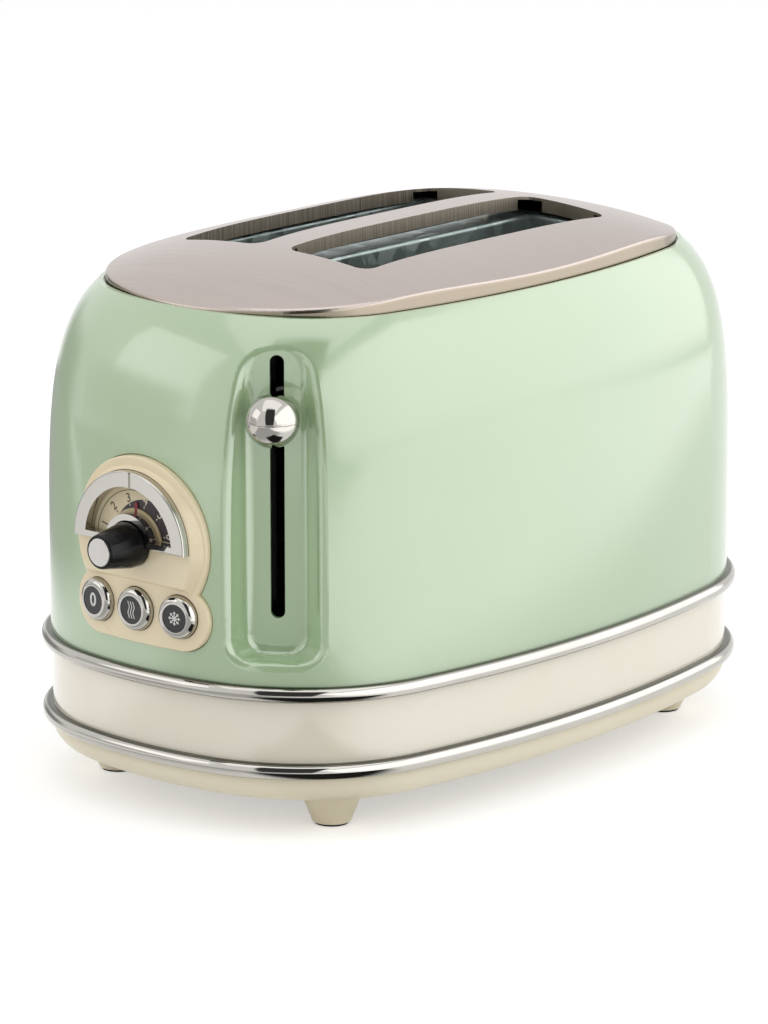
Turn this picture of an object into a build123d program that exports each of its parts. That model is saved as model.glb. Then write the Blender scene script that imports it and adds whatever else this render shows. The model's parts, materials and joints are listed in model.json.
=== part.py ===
"""Two-slot pop-up toaster: a domed, painted shell on a cream base, as separate pieces.

Frame: origin on the floor under the middle of the base, +Z up, the long axis along Y,
with the control end facing -Y. All sizes are in millimetres.
"""

import os
from math import asin, cos, log, radians, sin, sqrt, tan

from build123d import *

os.makedirs("parts", exist_ok=True)

# ---------------------------------------------------------------- driving dimensions
# A plan outline is (half width, half length, side radius, end radius, corner radius).
BASE_PLAN = (98.0, 150.0, 461.6, 170.5, 70.3)
TOP_PLAN = (78.6, 126.65, 393.0, 100.5, 47.8)
PAN_FLOOR_PLAN = (90.0, 138.7, 440.0, 158.0, 62.0)

# Levels, from the floor up.
FOOT_HEIGHT = 14.0
PAD_HEIGHT = 1.0
LOWER_RING_Z = 25.0
BAND_Z = 31.0
UPPER_RING_Z = 55.0
SHELL_Z = 61.0
LIP_Z = 198.0
PLATE_Z = 196.0
DOME_Z = 215.08

# Cuts that pass right through reach this far.
THROUGH = 60.0

# Walls, sheets and gaps.
SHELL_WALL = 2.0
PAN_WALL = 2.5
SHEET = 0.8
LEDGE_WIDTH = 6.0
LEDGE_THICKNESS = 2.0
PLATE_GAP = 0.8
PLATE_SHEET = 1.2
PLATE_ROLL = 2.0
DOME_RADIUS_X = 415.0
DOME_RADIUS_Y = 13149.0
DOME_ROLL = 6.2e-8
DOME_GRID_X = (-88, -62, -32, 0, 32, 62, 88)
DOME_GRID_Y = (-134, -112, -84, -48, 0, 48, 84, 112, 134)
DOME_FLOOR_Z = 156.0

# The shoulder: how far a section has drawn in from the base plan to the top plan.
SHOULDER_START = 59.4
SHOULDER_RISE = 156.4
SHOULDER_POWER = 5.1
SHOULDER_GAIN = 1.15
SHELL_LEVELS = (73, 85, 97, 109, 121, 133, 145, 155, 164, 172, 179, 186, 192)

# Bread slots and the chambers under them.
SLOT_INNER_X = 7.2
SLOT_OUTER_X = 48.0
SLOT_HALF_LENGTH = 74.3
SLOT_CORNER = 6.0
SLOT_LIP = 5.5
LIP_RELIEF = 7.0
LIP_RELIEF_TOP = 2.4
CHAMBER_HALF_LENGTH = 75.5
CHAMBER_OUTER_X = 49.0
CHAMBER_TOP = 205.3
CHAMBER_BOTTOM = 56.0
DIVIDER_X = 7.3
SLOT_MIDDLE_X = (SLOT_INNER_X + SLOT_OUTER_X) / 2

# Trim rings and base.
RING_HEIGHT = 6.0
RING_PROUD = 3.7
RING_NOSE = 2.9
RING_SEAT = 2.0
BAND_SET_BACK = 0.5
FOOT_X = 56.0
FOOT_Y = 104.0
FOOT_TOP_RADIUS = 12.4
FOOT_BOTTOM_RADIUS = 7.6
FOOT_RIM = 2.0
FOOT_SEAM = 0.6
PAD_INSET = 1.0
PAD_PEG_INSET = 2.0
PILLAR_X = 66.0
PILLAR_Y = 88.0
PILLAR_RADIUS = 5.0
SCREW_RADIUS = 1.6
SCREW_LENGTH = 16.0
SCREW_HEAD_RADIUS = 3.2
SCREW_HEAD_HEIGHT = 1.6
SCREW_TIP_GAP = 1.0
CROSS_LENGTH = 4.2
CROSS_WIDTH = 1.0
CROSS_CORNER = 0.2
TRAY_HALF_WIDTH = 57.0
TRAY_FRONT_Y = -73.0
TRAY_CAP_Y = 136.0
TRAY_HEIGHT = 6.0
TRAY_LIFT = 0.3
TRAY_SHEET = 0.6
TRAY_PLAY = 0.8
RAIL_WIDTH = 2.0
RAIL_HEIGHT = 4.0
RAIL_LENGTH = 190.0
RAIL_MIDDLE_Y = 20.0
HANDLE_REACH = 30.0
POCKET_MARGIN = 3.0
POCKET_WIDTH = 5.0
POCKET_DEPTH = 5.0
POCKET_SET_BACK = 4.5
GROOVE_LENGTH = 60.0
GROOVE_HEIGHT = 2.4
GROOVE_DROP = 3.0
GROOVE_DEPTH = 5.5
GROOVE_START = 3.0
GLAND_Z = 43.0
GLAND_RADIUS = 6.5
GLAND_BORE = 3.5
GLAND_INSIDE = 6.0
GLAND_FLANGE = 1.5
GLAND_FLANGE_THICKNESS = 2.5
GLAND_EDGE = 0.8
GLAND_CUT = 10.0

# Lever recess, slot and ball. The recess faces outwards along RECESS_OUT.
RECESS_ANGLE = 32.5
RECESS_FLOOR = (49.4, -126.9)
RECESS_FLOOR_WIDTH = 22.0
RECESS_DRAFT = 35.0
RECESS_BOTTOM = 70.0
RECESS_TOP = 190.0
RECESS_CORNER = 7.5
RECESS_FOOT_RADIUS = 4.0
RECESS_RIM = 3.5
RECESS_REACH = 30.0
RECESS_CLEARANCE = 0.3
SKIN_SLACK = 0.01
LEVER_SLOT_WIDTH = 5.5
LEVER_SLOT_BOTTOM = 84.3
LEVER_SLOT_TOP = 185.8
BALL_RADIUS = 10.2
BALL_REACH = 11.0
BALL_Z = 163.0
STEM_WIDTH = 4.0
STEM_HEIGHT = 5.0
STEM_REACH = 60.0
BALL_SEAM = 0.25
LINER_DEPTH = 12.0
LINER_WALL = 1.6
LINER_FLOOR = 1.5
LINER_SIDE_PLAY = 1.0
LINER_END_PLAY = 0.5
LINER_SLIT_PLAY = 0.5

# Control panel and dial.
PANEL_PROUD = 2.0
PANEL_DEPTH = 4.3
PANEL_CIRCLE_RADIUS = 33.1
PANEL_CIRCLE_Z = 110.7
PILL_HALF_LENGTH = 33.7
PILL_RADIUS = 12.6
PILL_Z = 83.7
PANEL_GAP = 0.4
PANEL_CUT_Y = 120.0
PANEL_CUT = 50.0
WAIST_Z = (84.0, 100.0)
WAIST_X = 25.0
WAIST_RADIUS = 8.5
DIAL_Z = 110.5
DIAL_DROP = 0.4
BEZEL_RADIUS = 28.3
WINDOW_RADIUS = 22.3
HUB_RADIUS = 11.8
BEZEL_FACE_Y = -156.6
BUTTON_X = 20.7
BUTTON_Z = 84.7
BUTTON_RADIUS = 8.45
BUTTON_PLAY = 0.25
BUTTON_EDGE = 2.6
BUTTON_CUT_BACK = 20.0
BUTTON_CUT = 30.0
COLLAR_OUT = 0.7
COLLAR_THICKNESS = 1.0
BUTTON_FACE = 3.4
BUTTON_DEPTH = 7.9
INSET_RADIUS = 5.5
INSET_DEPTH = 1.2
INSET_SINK = 0.2
PLUNGER_END = 21.2
PLUNGER_RADIUS = 2.5
PANEL_EDGE = 0.8
FLANGE = 2.0
FLANGE_WIDTH = 3.0
SEAT_GAP = 0.15
BEZEL_EDGE = 0.7
BAR_TOP = 2.3
TICK_WIDTH = 2.2
TICK_HEIGHT = 0.6
DIAL_FACE_Y = -151.2
RAISED_RADIUS = 32.4
RAISED_DROP = 17.5
RAISED_BACK_Y = -148.3
RAISED_FACE_Y = -153.4
RAISED_DRAFT = 34.5
RAISED_EDGE = 1.2
DIAL_THICKNESS = 0.8
DIAL_CUT_BACK_Y = -130.0
DIAL_CUT_FRONT_Y = -170.0
POINTER_RADIUS = 13.2
POINTER_TIP = 15.6
POINTER_FRONT_Y = -151.9
POINTER_THICKNESS = 0.5
POINTER_PLAY = 0.2
POINTER_ROOM = 0.5
POINTER_ROOT = 12.0
POINTER_ROOT_HALF = 1.1
POINTER_TIP_HALF = 0.5
SHAFT_RADIUS = 3.0
SHAFT_ROOM = 0.3
SHAFT_CHAMFER = 0.4
SHAFT_END_GAP = 0.5
RUNNING_GAP = 0.05
KNOB_RADIUS = 8.9
KNOB_FRONT_RADIUS = 6.5
KNOB_CAP_RADIUS = 5.4
KNOB_ROOM = 0.5
KNOB_EDGE = 0.9
CAP_DEPTH = 1.2
CAP_PROUD = 0.2
CAP_CHAMFER = 0.15
POT_SIZE = 17.0
POT_CORNER = 1.5
POT_DEPTH = 8.0
POT_FLOOR = 2.5
POT_NECK_RADIUS = 5.0
POT_NECK_END = 13.0
KNOB_BACK_Y = -154.1
KNOB_SKIRT_Y = -158.0
KNOB_FRONT_Y = -172.4
BOARD_Y = -125.0
BOARD_THICKNESS = 1.6
BOARD_HALF_WIDTH = 36.0
BOARD_BOTTOM = 68.0
BOARD_TOP = 142.0
BOARD_CORNER = 2.0
PANEL_POSTS = ((30.0, 103.0), (11.0, 72.5))
POST_RADIUS = 2.2
POST_LENGTH = 21.0
SWITCH_X = (-18.1, 0.0, 18.1)
SWITCH_SIZE = 6.0
SWITCH_HEIGHT = 2.5
CHIP_PLACES = ((-20.0, 132.0), (-6.0, 134.0))
CHIP_WIDTH = 9.0
CHIP_HEIGHT = 6.0
CAPACITOR_PLACES = ((16.0, 134.0), (27.0, 134.0))
CAPACITOR_RADIUS = 4.0
COMPONENT_DEPTH = 7.0

# Lift mechanism.
CENTRE_SHIFT = 9.45
CHASSIS_FOOT_Z = 51.2
CHASSIS_FOOT = 20.0
CHASSIS_HALF_WIDTH = 56.0
TOP_FLANGE = 6.0
FOLD_RADIUS = 1.6
TAB_HALF_WIDTH = 13.0
TAB_END_Y = -95.0
TAB_LAP = 2.0
CHASSIS_EAR = 7.0
CHASSIS_EAR_DEPTH = 14.0
DIVIDER_BOTTOM = 186.0
HEATER_BOTTOM = 60.0
HEATER_TOP = 184.0
HEATER_INNER_X = 9.8
HEATER_OUTER_X = 46.2
MICA = 0.8
RIBBON = 0.3
RIBBON_ROWS = 8
RIBBON_WIDTH = 1.6
RIBBON_MARGIN = 12.0
RIBBON_END = 8.0
GUIDE_INNER_X = 14.0
GUIDE_OUTER_X = 41.8
GUIDE_PIVOT_Z = 64.0
GUIDE_TOP = 188.0
GUIDE_FLARE = 2.5
GUIDE_BEND_DROP = 14.0
GUIDE_BEND = 10.0
GUIDE_HALF_LENGTH = 66.0
GUIDE_WIRES = 5
WIRE_RADIUS = 0.8
UPRIGHT_RADIUS = 0.65
PIVOT_RADIUS = 1.0
PIVOT_OVERHANG = 2.5
RACK_LOW = 64.0
RACK_HIGH = 166.0
RACK_SLOT = 3.0
RACK_HEIGHT = 8.0
RACK_THICKNESS = 1.5
RACK_END_Y = 79.5
RACK_FINGERS = 6
FINGER_PITCH = 22.0
FINGER_HEIGHT = 3.0
RACK_HALF_WIDTH = 9.0
ROD_Y = -89.0
ROD_RADIUS = 3.0
CARRIAGE_BACK_Y = -83.0
CARRIAGE_THICKNESS = 1.5
RACK_TOP = 144.0
CARRIAGE_BOTTOM = 136.0
CARRIAGE_TOP = 168.0
CARRIAGE_HALF_WIDTH = 36.0
BUSH_RADIUS = 5.5
CARRIAGE_CORNER = 3.0
NOTCH_WIDTH = 8.0
NOTCH_DEPTH = 8.0
NOTCH_INSET = 8.0
WEB_WIDTH = 6.0
LUG_WIDTH = 8.0
LUG_THICKNESS = 1.5
LUG_REACH = 4.0
LATCH_WIDTH = 16.0
LATCH_REACH = 6.0
LATCH_DROP = 2.0
LATCH_THICKNESS = 3.0
LATCH_CORNER = 1.0
LEVER_DROP = 69.0
MAGNET_X = -20.0
MAGNET_SET_BACK = 1.0
MAGNET_WIDTH = 18.0
MAGNET_DEPTH = 9.0
MAGNET_BASE = 2.0
MAGNET_GAP = 0.3
POLE_X = 6.5
POLE_WIDTH = 4.0
POLE_DEPTH = 8.0
COIL_RADIUS = 4.0
COIL_HALF_LENGTH = 4.5
COIL_LIFT = 6.5
SPRING_X = 9.5
SPRING_LOW = 161.5
SPRING_RADIUS = 2.8
SPRING_WIRE = 0.5
SPRING_TURNS = 11


# ---------------------------------------------------------------- shared outlines
def plan_face(z, plan, grow=0.0):
    """A closed oval of eight tangent arcs at height z, grown outwards by a distance."""
    half_width, half_length, side_radius, end_radius, corner_radius = [
        value + grow for value in plan
    ]
    side_centre = Vector(half_width - side_radius, 0)
    end_centre = Vector(0, half_length - end_radius)
    between = end_centre - side_centre
    side_reach = side_radius - corner_radius
    end_reach = end_radius - corner_radius
    along = (side_reach**2 - end_reach**2 + between.length**2) / (2 * between.length)
    across = sqrt(side_reach**2 - along**2)
    unit = between.normalized()
    corner = side_centre + unit * along + Vector(-unit.Y, unit.X) * across
    side_end = side_centre + (corner - side_centre).normalized() * side_radius
    end_start = end_centre + (corner - end_centre).normalized() * end_radius
    outward = ((corner - side_centre).normalized() + (corner - end_centre).normalized())
    corner_mid = corner + outward.normalized() * corner_radius
    with BuildSketch(Plane.XY.offset(z)) as sketch:
        with BuildLine():
            for sx, sy in ((1, 1), (-1, -1)):
                ThreePointArc(
                    (sx * side_end.X, -sy * side_end.Y),
                    (sx * half_width, 0),
                    (sx * side_end.X, sy * side_end.Y),
                )
                ThreePointArc(
                    (sx * side_end.X, sy * side_end.Y),
                    (sx * corner_mid.X, sy * corner_mid.Y),
                    (sx * end_start.X, sy * end_start.Y),
                )
                ThreePointArc(
                    (sx * end_start.X, sy * end_start.Y),
                    (0, sy * half_length),
                    (-sx * end_start.X, sy * end_start.Y),
                )
                ThreePointArc(
                    (-sx * end_start.X, sy * end_start.Y),
                    (-sx * corner_mid.X, sy * corner_mid.Y),
                    (-sx * side_end.X, sy * side_end.Y),
                )
        make_face()
    return sketch.sketch


def mixed_plan(low_plan, high_plan, share):
    """The plan a given share of the way from one plan to another."""
    return [low + share * (high - low) for low, high in zip(low_plan, high_plan)]


def shoulder_share(z):
    """0 where the shell is upright, 1 where it reaches the top plan."""
    rise = max(0.0, (z - SHOULDER_START) / SHOULDER_RISE)
    return -SHOULDER_GAIN * log(1 - rise**SHOULDER_POWER)


def shell_face(z, grow=0.0):
    """The shell's own plan at height z."""
    return plan_face(z, mixed_plan(BASE_PLAN, TOP_PLAN, shoulder_share(z)), grow)


def shell_form(bottom, top, grow=0.0):
    """The solid inside the shell's outer surface between two heights, grown outwards."""
    levels = [bottom, *SHELL_LEVELS, top]
    return Solid.make_loft([shell_face(z, grow).face().outer_wire() for z in levels])


# ---------------------------------------------------------------- lever recess
RECESS_OUT = Vector(sin(radians(RECESS_ANGLE)), -cos(radians(RECESS_ANGLE)), 0)
RECESS_ALONG = Vector(cos(radians(RECESS_ANGLE)), sin(radians(RECESS_ANGLE)), 0)


def recess_plane(z, depth=0.0):
    """Level plane at the recess floor: x runs along the recess, y points outwards."""
    middle = Vector(*RECESS_FLOOR, z) - RECESS_OUT * depth
    return Plane(origin=middle, x_dir=-RECESS_ALONG, z_dir=(0, 0, 1))


def recess_front(z=0.0, depth=0.0):
    """Upright plane on the recess floor, looking outwards, with its y axis up."""
    middle = Vector(*RECESS_FLOOR, z) - RECESS_OUT * depth
    return Plane(origin=middle, x_dir=RECESS_ALONG, z_dir=RECESS_OUT)


def recess_form(grow=0.0):
    """The scooped channel that the lever runs in, grown by a wall for its inside."""
    draft = radians(RECESS_DRAFT)
    half_width = RECESS_FLOOR_WIDTH / 2 + grow / cos(draft) - grow * tan(draft)
    arch_z = RECESS_TOP - RECESS_FLOOR_WIDTH / 2
    low_z = RECESS_BOTTOM - RECESS_REACH
    with BuildPart() as form:
        # An upright outline with an arched top, widening outwards.
        with BuildSketch(recess_front(depth=grow)):
            with Locations((0, (low_z + arch_z) / 2)):
                Rectangle(2 * half_width, arch_z - low_z)
            with Locations((0, arch_z)):
                Circle(half_width)
        extrude(amount=RECESS_REACH + grow, taper=-RECESS_DRAFT)
        # Its level bottom, with rounded corners.
        with BuildSketch(recess_plane(RECESS_BOTTOM - grow)):
            Rectangle(4 * RECESS_REACH, 4 * RECESS_REACH)
        extrude(amount=RECESS_TOP, mode=Mode.INTERSECT)
        bottom = form.faces().sort_by(Axis.Z)[0]
        corners = bottom.edges().filter_by(lambda edge: abs((edge % 0.5).dot(RECESS_OUT)) > 0.5)
        fillet(corners, RECESS_CORNER + grow)
        floor = form.faces().sort_by(Axis(Vector(0, 0, 0), RECESS_OUT))[0]
        fillet(floor.edges(), RECESS_FOOT_RADIUS + grow)
    return form.part


# ---------------------------------------------------------------- panel outline
end_centre_y = -BASE_PLAN[1] + BASE_PLAN[3]


def panel_face(distance, grow=0.0):
    """The control panel's outline, a circle over a pill, on a plane in front of y = 0."""
    with BuildSketch(Plane.XZ.offset(distance)) as outline:
        with Locations((0, PANEL_CIRCLE_Z)):
            Circle(PANEL_CIRCLE_RADIUS + grow)
        with Locations((0, PILL_Z)):
            SlotOverall(2 * (PILL_HALF_LENGTH + grow), 2 * (PILL_RADIUS + grow))
        low, high = WAIST_Z
        corners = outline.vertices().filter_by(lambda v: low < v.Z < high)
        fillet(corners.filter_by(lambda v: abs(v.X) > WAIST_X), WAIST_RADIUS)
    return outline.sketch


def dial_plane(y):
    """An upright plane on the dial's axis, looking outwards from the control end."""
    return Plane(origin=(0, y, DIAL_Z), x_dir=(1, 0, 0), z_dir=(0, -1, 0))


def button_plane(x, out=0.0):
    """A plane square to the panel at a button, a distance in front of its surface."""
    radius = BASE_PLAN[3] + PANEL_PROUD
    angle = asin(x / radius)
    reach = radius + out
    return Plane(
        origin=(reach * sin(angle), end_centre_y - reach * cos(angle), BUTTON_Z),
        x_dir=(cos(angle), sin(angle), 0),
        z_dir=(sin(angle), -cos(angle), 0),
    )


# ---------------------------------------------------------------- body shell
shell_inside = shell_form(SHELL_Z - 2, PLATE_Z - LEDGE_THICKNESS, -SHELL_WALL)
with BuildPart() as shell_cavity:
    add(shell_inside)
    add(recess_form(SHELL_WALL), mode=Mode.SUBTRACT)

outer_form = shell_form(SHELL_Z, LIP_Z)
recess = recess_form()


def is_recess_rim(edge):
    """Whether an edge lies where the recess breaks the shell's outer surface."""
    middle = Vertex(*(edge @ 0.5))
    return all(form.shell().distance_to(middle) < SKIN_SLACK for form in (outer_form, recess))


with BuildPart() as body_shell:
    add(outer_form)
    add(recess, mode=Mode.SUBTRACT)
    rim = body_shell.edges().filter_by(is_recess_rim)
    fillet(rim, RECESS_RIM)
    add(shell_cavity.part, mode=Mode.SUBTRACT)
    extrude(plan_face(PLATE_Z, TOP_PLAN, PLATE_GAP), amount=THROUGH, mode=Mode.SUBTRACT)
    ledge_hole = plan_face(PLATE_Z, TOP_PLAN, -LEDGE_WIDTH)
    extrude(ledge_hole, amount=-2 * LEDGE_THICKNESS, mode=Mode.SUBTRACT)
    with BuildSketch(recess_front()):
        with Locations((0, (LEVER_SLOT_BOTTOM + LEVER_SLOT_TOP) / 2)):
            slot_length = LEVER_SLOT_TOP - LEVER_SLOT_BOTTOM
            SlotOverall(slot_length, LEVER_SLOT_WIDTH, rotation=90)
    extrude(amount=2 * SHELL_WALL, both=True, mode=Mode.SUBTRACT)
    extrude(panel_face(PANEL_CUT_Y, PANEL_GAP), amount=PANEL_CUT, mode=Mode.SUBTRACT)
body_shell.part.label = "body_shell"


# ---------------------------------------------------------------- top plate
def dome_height(x, y):
    """The plate's top surface: nearly flat in the middle, rolling down at the edges."""
    bow = x**2 / (2 * DOME_RADIUS_X) + y**2 / (2 * DOME_RADIUS_Y)
    roll = DOME_ROLL * (2 * x**4 + y**4)
    return DOME_Z - bow - roll


def dome_form(drop=0.0):
    """Everything under the plate's top surface, lowered by a distance."""
    low_x, high_x = DOME_GRID_X[0], DOME_GRID_X[-1]
    with BuildPart() as form:
        for y in DOME_GRID_Y:
            with BuildSketch(Plane(origin=(0, y, 0), x_dir=(1, 0, 0), z_dir=(0, -1, 0))):
                with BuildLine():
                    Spline([(x, dome_height(x, y) - drop) for x in DOME_GRID_X])
                    edge_z = dome_height(low_x, y) - drop
                    Polyline(
                        (low_x, edge_z),
                        (low_x, DOME_FLOOR_Z),
                        (high_x, DOME_FLOOR_Z),
                        (high_x, edge_z),
                    )
                make_face()
        loft()
    return form.part


def slot_face(z, side, grow=0.0):
    """One bread slot's outline at height z, on the side that the sign gives."""
    length = 2 * (SLOT_HALF_LENGTH + grow)
    with BuildSketch(Plane.XY.offset(z)) as outline:
        with Locations((side * SLOT_MIDDLE_X, 0)):
            width = SLOT_OUTER_X - SLOT_INNER_X + 2 * grow
            RectangleRounded(width, length, SLOT_CORNER + grow)
    return outline.sketch


with BuildPart() as plate_underside:
    add(dome_form(PLATE_SHEET))
    inner_plan = plan_face(DOME_FLOOR_Z, TOP_PLAN, -PLATE_SHEET)
    extrude(inner_plan, amount=THROUGH, mode=Mode.INTERSECT)

with BuildPart() as lip_underside:
    add(dome_form(SLOT_LIP))

with BuildPart() as slot_collars:
    for side in (-1, 1):
        extrude(slot_face(PLATE_Z, side, PLATE_SHEET), amount=THROUGH)
    add(lip_underside.part, mode=Mode.SUBTRACT)
    add(dome_form(), mode=Mode.INTERSECT)
    for side in (-1, 1):
        for corner_y in (-SLOT_HALF_LENGTH, SLOT_HALF_LENGTH):
            for corner_x in (SLOT_INNER_X, SLOT_OUTER_X):
                with BuildSketch(Plane.XY.offset(PLATE_Z)):
                    with Locations((side * corner_x, corner_y)):
                        Rectangle(2 * LIP_RELIEF, 2 * LIP_RELIEF)
                extrude(amount=DOME_Z - PLATE_Z - LIP_RELIEF_TOP, mode=Mode.SUBTRACT)

with BuildPart() as top_plate:
    add(dome_form())
    extrude(plan_face(PLATE_Z, TOP_PLAN), amount=THROUGH, mode=Mode.INTERSECT)
    shoulder = top_plate.faces().filter_by(Plane.XY, reverse=True).sort_by(Axis.Z)[-1]
    fillet(shoulder.outer_wire().edges(), PLATE_ROLL)
    add(plate_underside.part, mode=Mode.SUBTRACT)
    add(slot_collars.part)
    extrude(plan_face(PLATE_Z, TOP_PLAN), amount=THROUGH, mode=Mode.INTERSECT)
    for side in (-1, 1):
        extrude(slot_face(PLATE_Z, side), amount=THROUGH, mode=Mode.SUBTRACT)
top_plate.part.label = "top_plate"


# ---------------------------------------------------------------- trim rings and base
def trim_ring(z):
    """A chrome ring of round-nosed section that stands proud of the shell."""
    with BuildPart() as ring:
        extrude(plan_face(z, BASE_PLAN, RING_PROUD), amount=RING_HEIGHT)
        noses = ring.edges().filter_by(Plane.XY)
        fillet(noses, RING_NOSE)
        extrude(plan_face(z, BASE_PLAN, -RING_SEAT), amount=RING_HEIGHT, mode=Mode.SUBTRACT)
    return ring.part


with BuildPart() as upper_trim_ring:
    add(trim_ring(UPPER_RING_Z))
upper_trim_ring.part.label = "upper_trim_ring"

with BuildPart() as lower_trim_ring:
    add(trim_ring(LOWER_RING_Z))
lower_trim_ring.part.label = "lower_trim_ring"

with BuildPart() as base_band:
    extrude(plan_face(BAND_Z, BASE_PLAN, -BAND_SET_BACK), amount=UPPER_RING_Z - BAND_Z)
    inner_band = plan_face(BAND_Z, BASE_PLAN, -BAND_SET_BACK - PAN_WALL)
    extrude(inner_band, amount=UPPER_RING_Z - BAND_Z, mode=Mode.SUBTRACT)
    with BuildSketch(Plane.XZ.offset(-BASE_PLAN[1] + GLAND_CUT)):
        with Locations((0, GLAND_Z)):
            Circle(GLAND_RADIUS)
    extrude(amount=-2 * GLAND_CUT, mode=Mode.SUBTRACT)
base_band.part.label = "base_band"


def pan_form(grow=0.0, lift=0.0):
    """The base pan's outer form: upright at the ring, rolling in to a flat floor."""
    depth = LOWER_RING_Z - FOOT_HEIGHT
    sections = []
    for drop in (0.0, 0.3, 0.6, 0.8, 0.92, 0.98, 1.0):
        share = 1 - sqrt(1 - drop**2)
        plan = mixed_plan(BASE_PLAN, PAN_FLOOR_PLAN, share)
        face = plan_face(LOWER_RING_Z + lift - drop * depth, plan, grow)
        sections.append(face.face().outer_wire())
    return Solid.make_loft(sections)


pillar_places = [
    (side * PILLAR_X, end * PILLAR_Y) for side in (-1, 1) for end in (-1, 1)
]
foot_places = {
    "foot_front_left": (-FOOT_X, -FOOT_Y),
    "foot_front_right": (FOOT_X, -FOOT_Y),
    "foot_rear_left": (-FOOT_X, FOOT_Y),
    "foot_rear_right": (FOOT_X, FOOT_Y),
}
pan_floor_z = FOOT_HEIGHT + PAN_WALL

with BuildPart() as base_pan:
    add(pan_form())
    add(pan_form(-PAN_WALL, PAN_WALL), mode=Mode.SUBTRACT)
    # Pillars that carry the chassis.
    with BuildSketch(Plane.XY.offset(pan_floor_z)):
        with Locations(*pillar_places):
            Circle(PILLAR_RADIUS)
    extrude(amount=CHASSIS_FOOT_Z - pan_floor_z)
    # Rails that guide the crumb tray, and the mouth it leaves through.
    with BuildSketch(Plane.XY.offset(pan_floor_z)):
        for side in (-1, 1):
            rail_x = side * (TRAY_HALF_WIDTH + RAIL_WIDTH / 2 + TRAY_PLAY)
            with Locations((rail_x, RAIL_MIDDLE_Y)):
                Rectangle(RAIL_WIDTH, RAIL_LENGTH)
    extrude(amount=RAIL_HEIGHT)
    with BuildSketch(Plane.XY.offset(pan_floor_z)):
        with Locations((0, TRAY_FRONT_Y - TRAY_PLAY + BASE_PLAN[1])):
            Rectangle(2 * (TRAY_HALF_WIDTH + TRAY_PLAY), 2 * BASE_PLAN[1])
    extrude(amount=LOWER_RING_Z - pan_floor_z, mode=Mode.SUBTRACT)
    # Screw holes up through the floor into the pillars.
    with BuildSketch(Plane.XY.offset(FOOT_HEIGHT)):
        with Locations(*pillar_places):
            Circle(SCREW_RADIUS)
    extrude(amount=SCREW_LENGTH, mode=Mode.SUBTRACT)
    with BuildSketch(Plane.XY.offset(FOOT_HEIGHT)):
        with Locations(*pillar_places):
            Circle(SCREW_HEAD_RADIUS)
    extrude(amount=SCREW_HEAD_HEIGHT, mode=Mode.SUBTRACT)
base_pan.part.label = "base_pan"

with BuildPart() as base_screws:
    with BuildSketch(Plane.XY.offset(FOOT_HEIGHT)):
        with Locations(*pillar_places):
            Circle(SCREW_HEAD_RADIUS)
            RectangleRounded(CROSS_WIDTH, CROSS_LENGTH, CROSS_CORNER, mode=Mode.SUBTRACT)
            RectangleRounded(CROSS_LENGTH, CROSS_WIDTH, CROSS_CORNER, mode=Mode.SUBTRACT)
    extrude(amount=SCREW_HEAD_HEIGHT / 2)
    with BuildSketch(Plane.XY.offset(FOOT_HEIGHT + SCREW_HEAD_HEIGHT / 2)):
        with Locations(*pillar_places):
            Circle(SCREW_HEAD_RADIUS)
    extrude(amount=SCREW_HEAD_HEIGHT / 2)
    with BuildSketch(Plane.XY.offset(FOOT_HEIGHT + SCREW_HEAD_HEIGHT)):
        with Locations(*pillar_places):
            Circle(SCREW_RADIUS)
    extrude(amount=SCREW_LENGTH - SCREW_HEAD_HEIGHT - SCREW_TIP_GAP)
base_screws.part.label = "base_screws"

feet = {}
for name, place in foot_places.items():
    with BuildPart() as foot:
        with BuildSketch(Plane.XY.offset(PAD_HEIGHT)):
            with Locations(place):
                Circle(FOOT_BOTTOM_RADIUS)
        with BuildSketch(Plane.XY.offset(FOOT_HEIGHT - FOOT_RIM)):
            with Locations(place):
                Circle(FOOT_TOP_RADIUS - FOOT_SEAM)
        loft()
        with BuildSketch(Plane.XY.offset(FOOT_HEIGHT - FOOT_RIM)):
            with Locations(place):
                Circle(FOOT_TOP_RADIUS)
        extrude(amount=FOOT_RIM)
        with BuildSketch(Plane.XY.offset(PAD_HEIGHT)):
            with Locations(place):
                Circle(FOOT_BOTTOM_RADIUS - PAD_PEG_INSET)
        extrude(amount=PAD_HEIGHT, mode=Mode.SUBTRACT)
    foot.part.label = name
    feet[name] = foot.part

with BuildPart() as foot_pads:
    with BuildSketch(Plane.XY):
        with Locations(*foot_places.values()):
            Circle(FOOT_BOTTOM_RADIUS - PAD_INSET)
    extrude(amount=PAD_HEIGHT)
    with BuildSketch(Plane.XY.offset(PAD_HEIGHT)):
        with Locations(*foot_places.values()):
            Circle(FOOT_BOTTOM_RADIUS - PAD_PEG_INSET)
    extrude(amount=PAD_HEIGHT)
foot_pads.part.label = "foot_pads"

# The crumb tray: a shallow pan whose end cap carries on the base's own curve.
with BuildPart() as crumb_tray:
    tray_length = TRAY_CAP_Y - TRAY_FRONT_Y
    tray_z = pan_floor_z + TRAY_LIFT
    with BuildSketch(Plane.XY.offset(tray_z)):
        with Locations((0, TRAY_FRONT_Y + tray_length / 2)):
            Rectangle(2 * TRAY_HALF_WIDTH, tray_length)
    extrude(amount=TRAY_HEIGHT)
    top_face = crumb_tray.faces().sort_by(Axis.Z)[-1]
    offset(amount=-TRAY_SHEET, openings=top_face)
crumb_tray.part.label = "crumb_tray"

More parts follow.
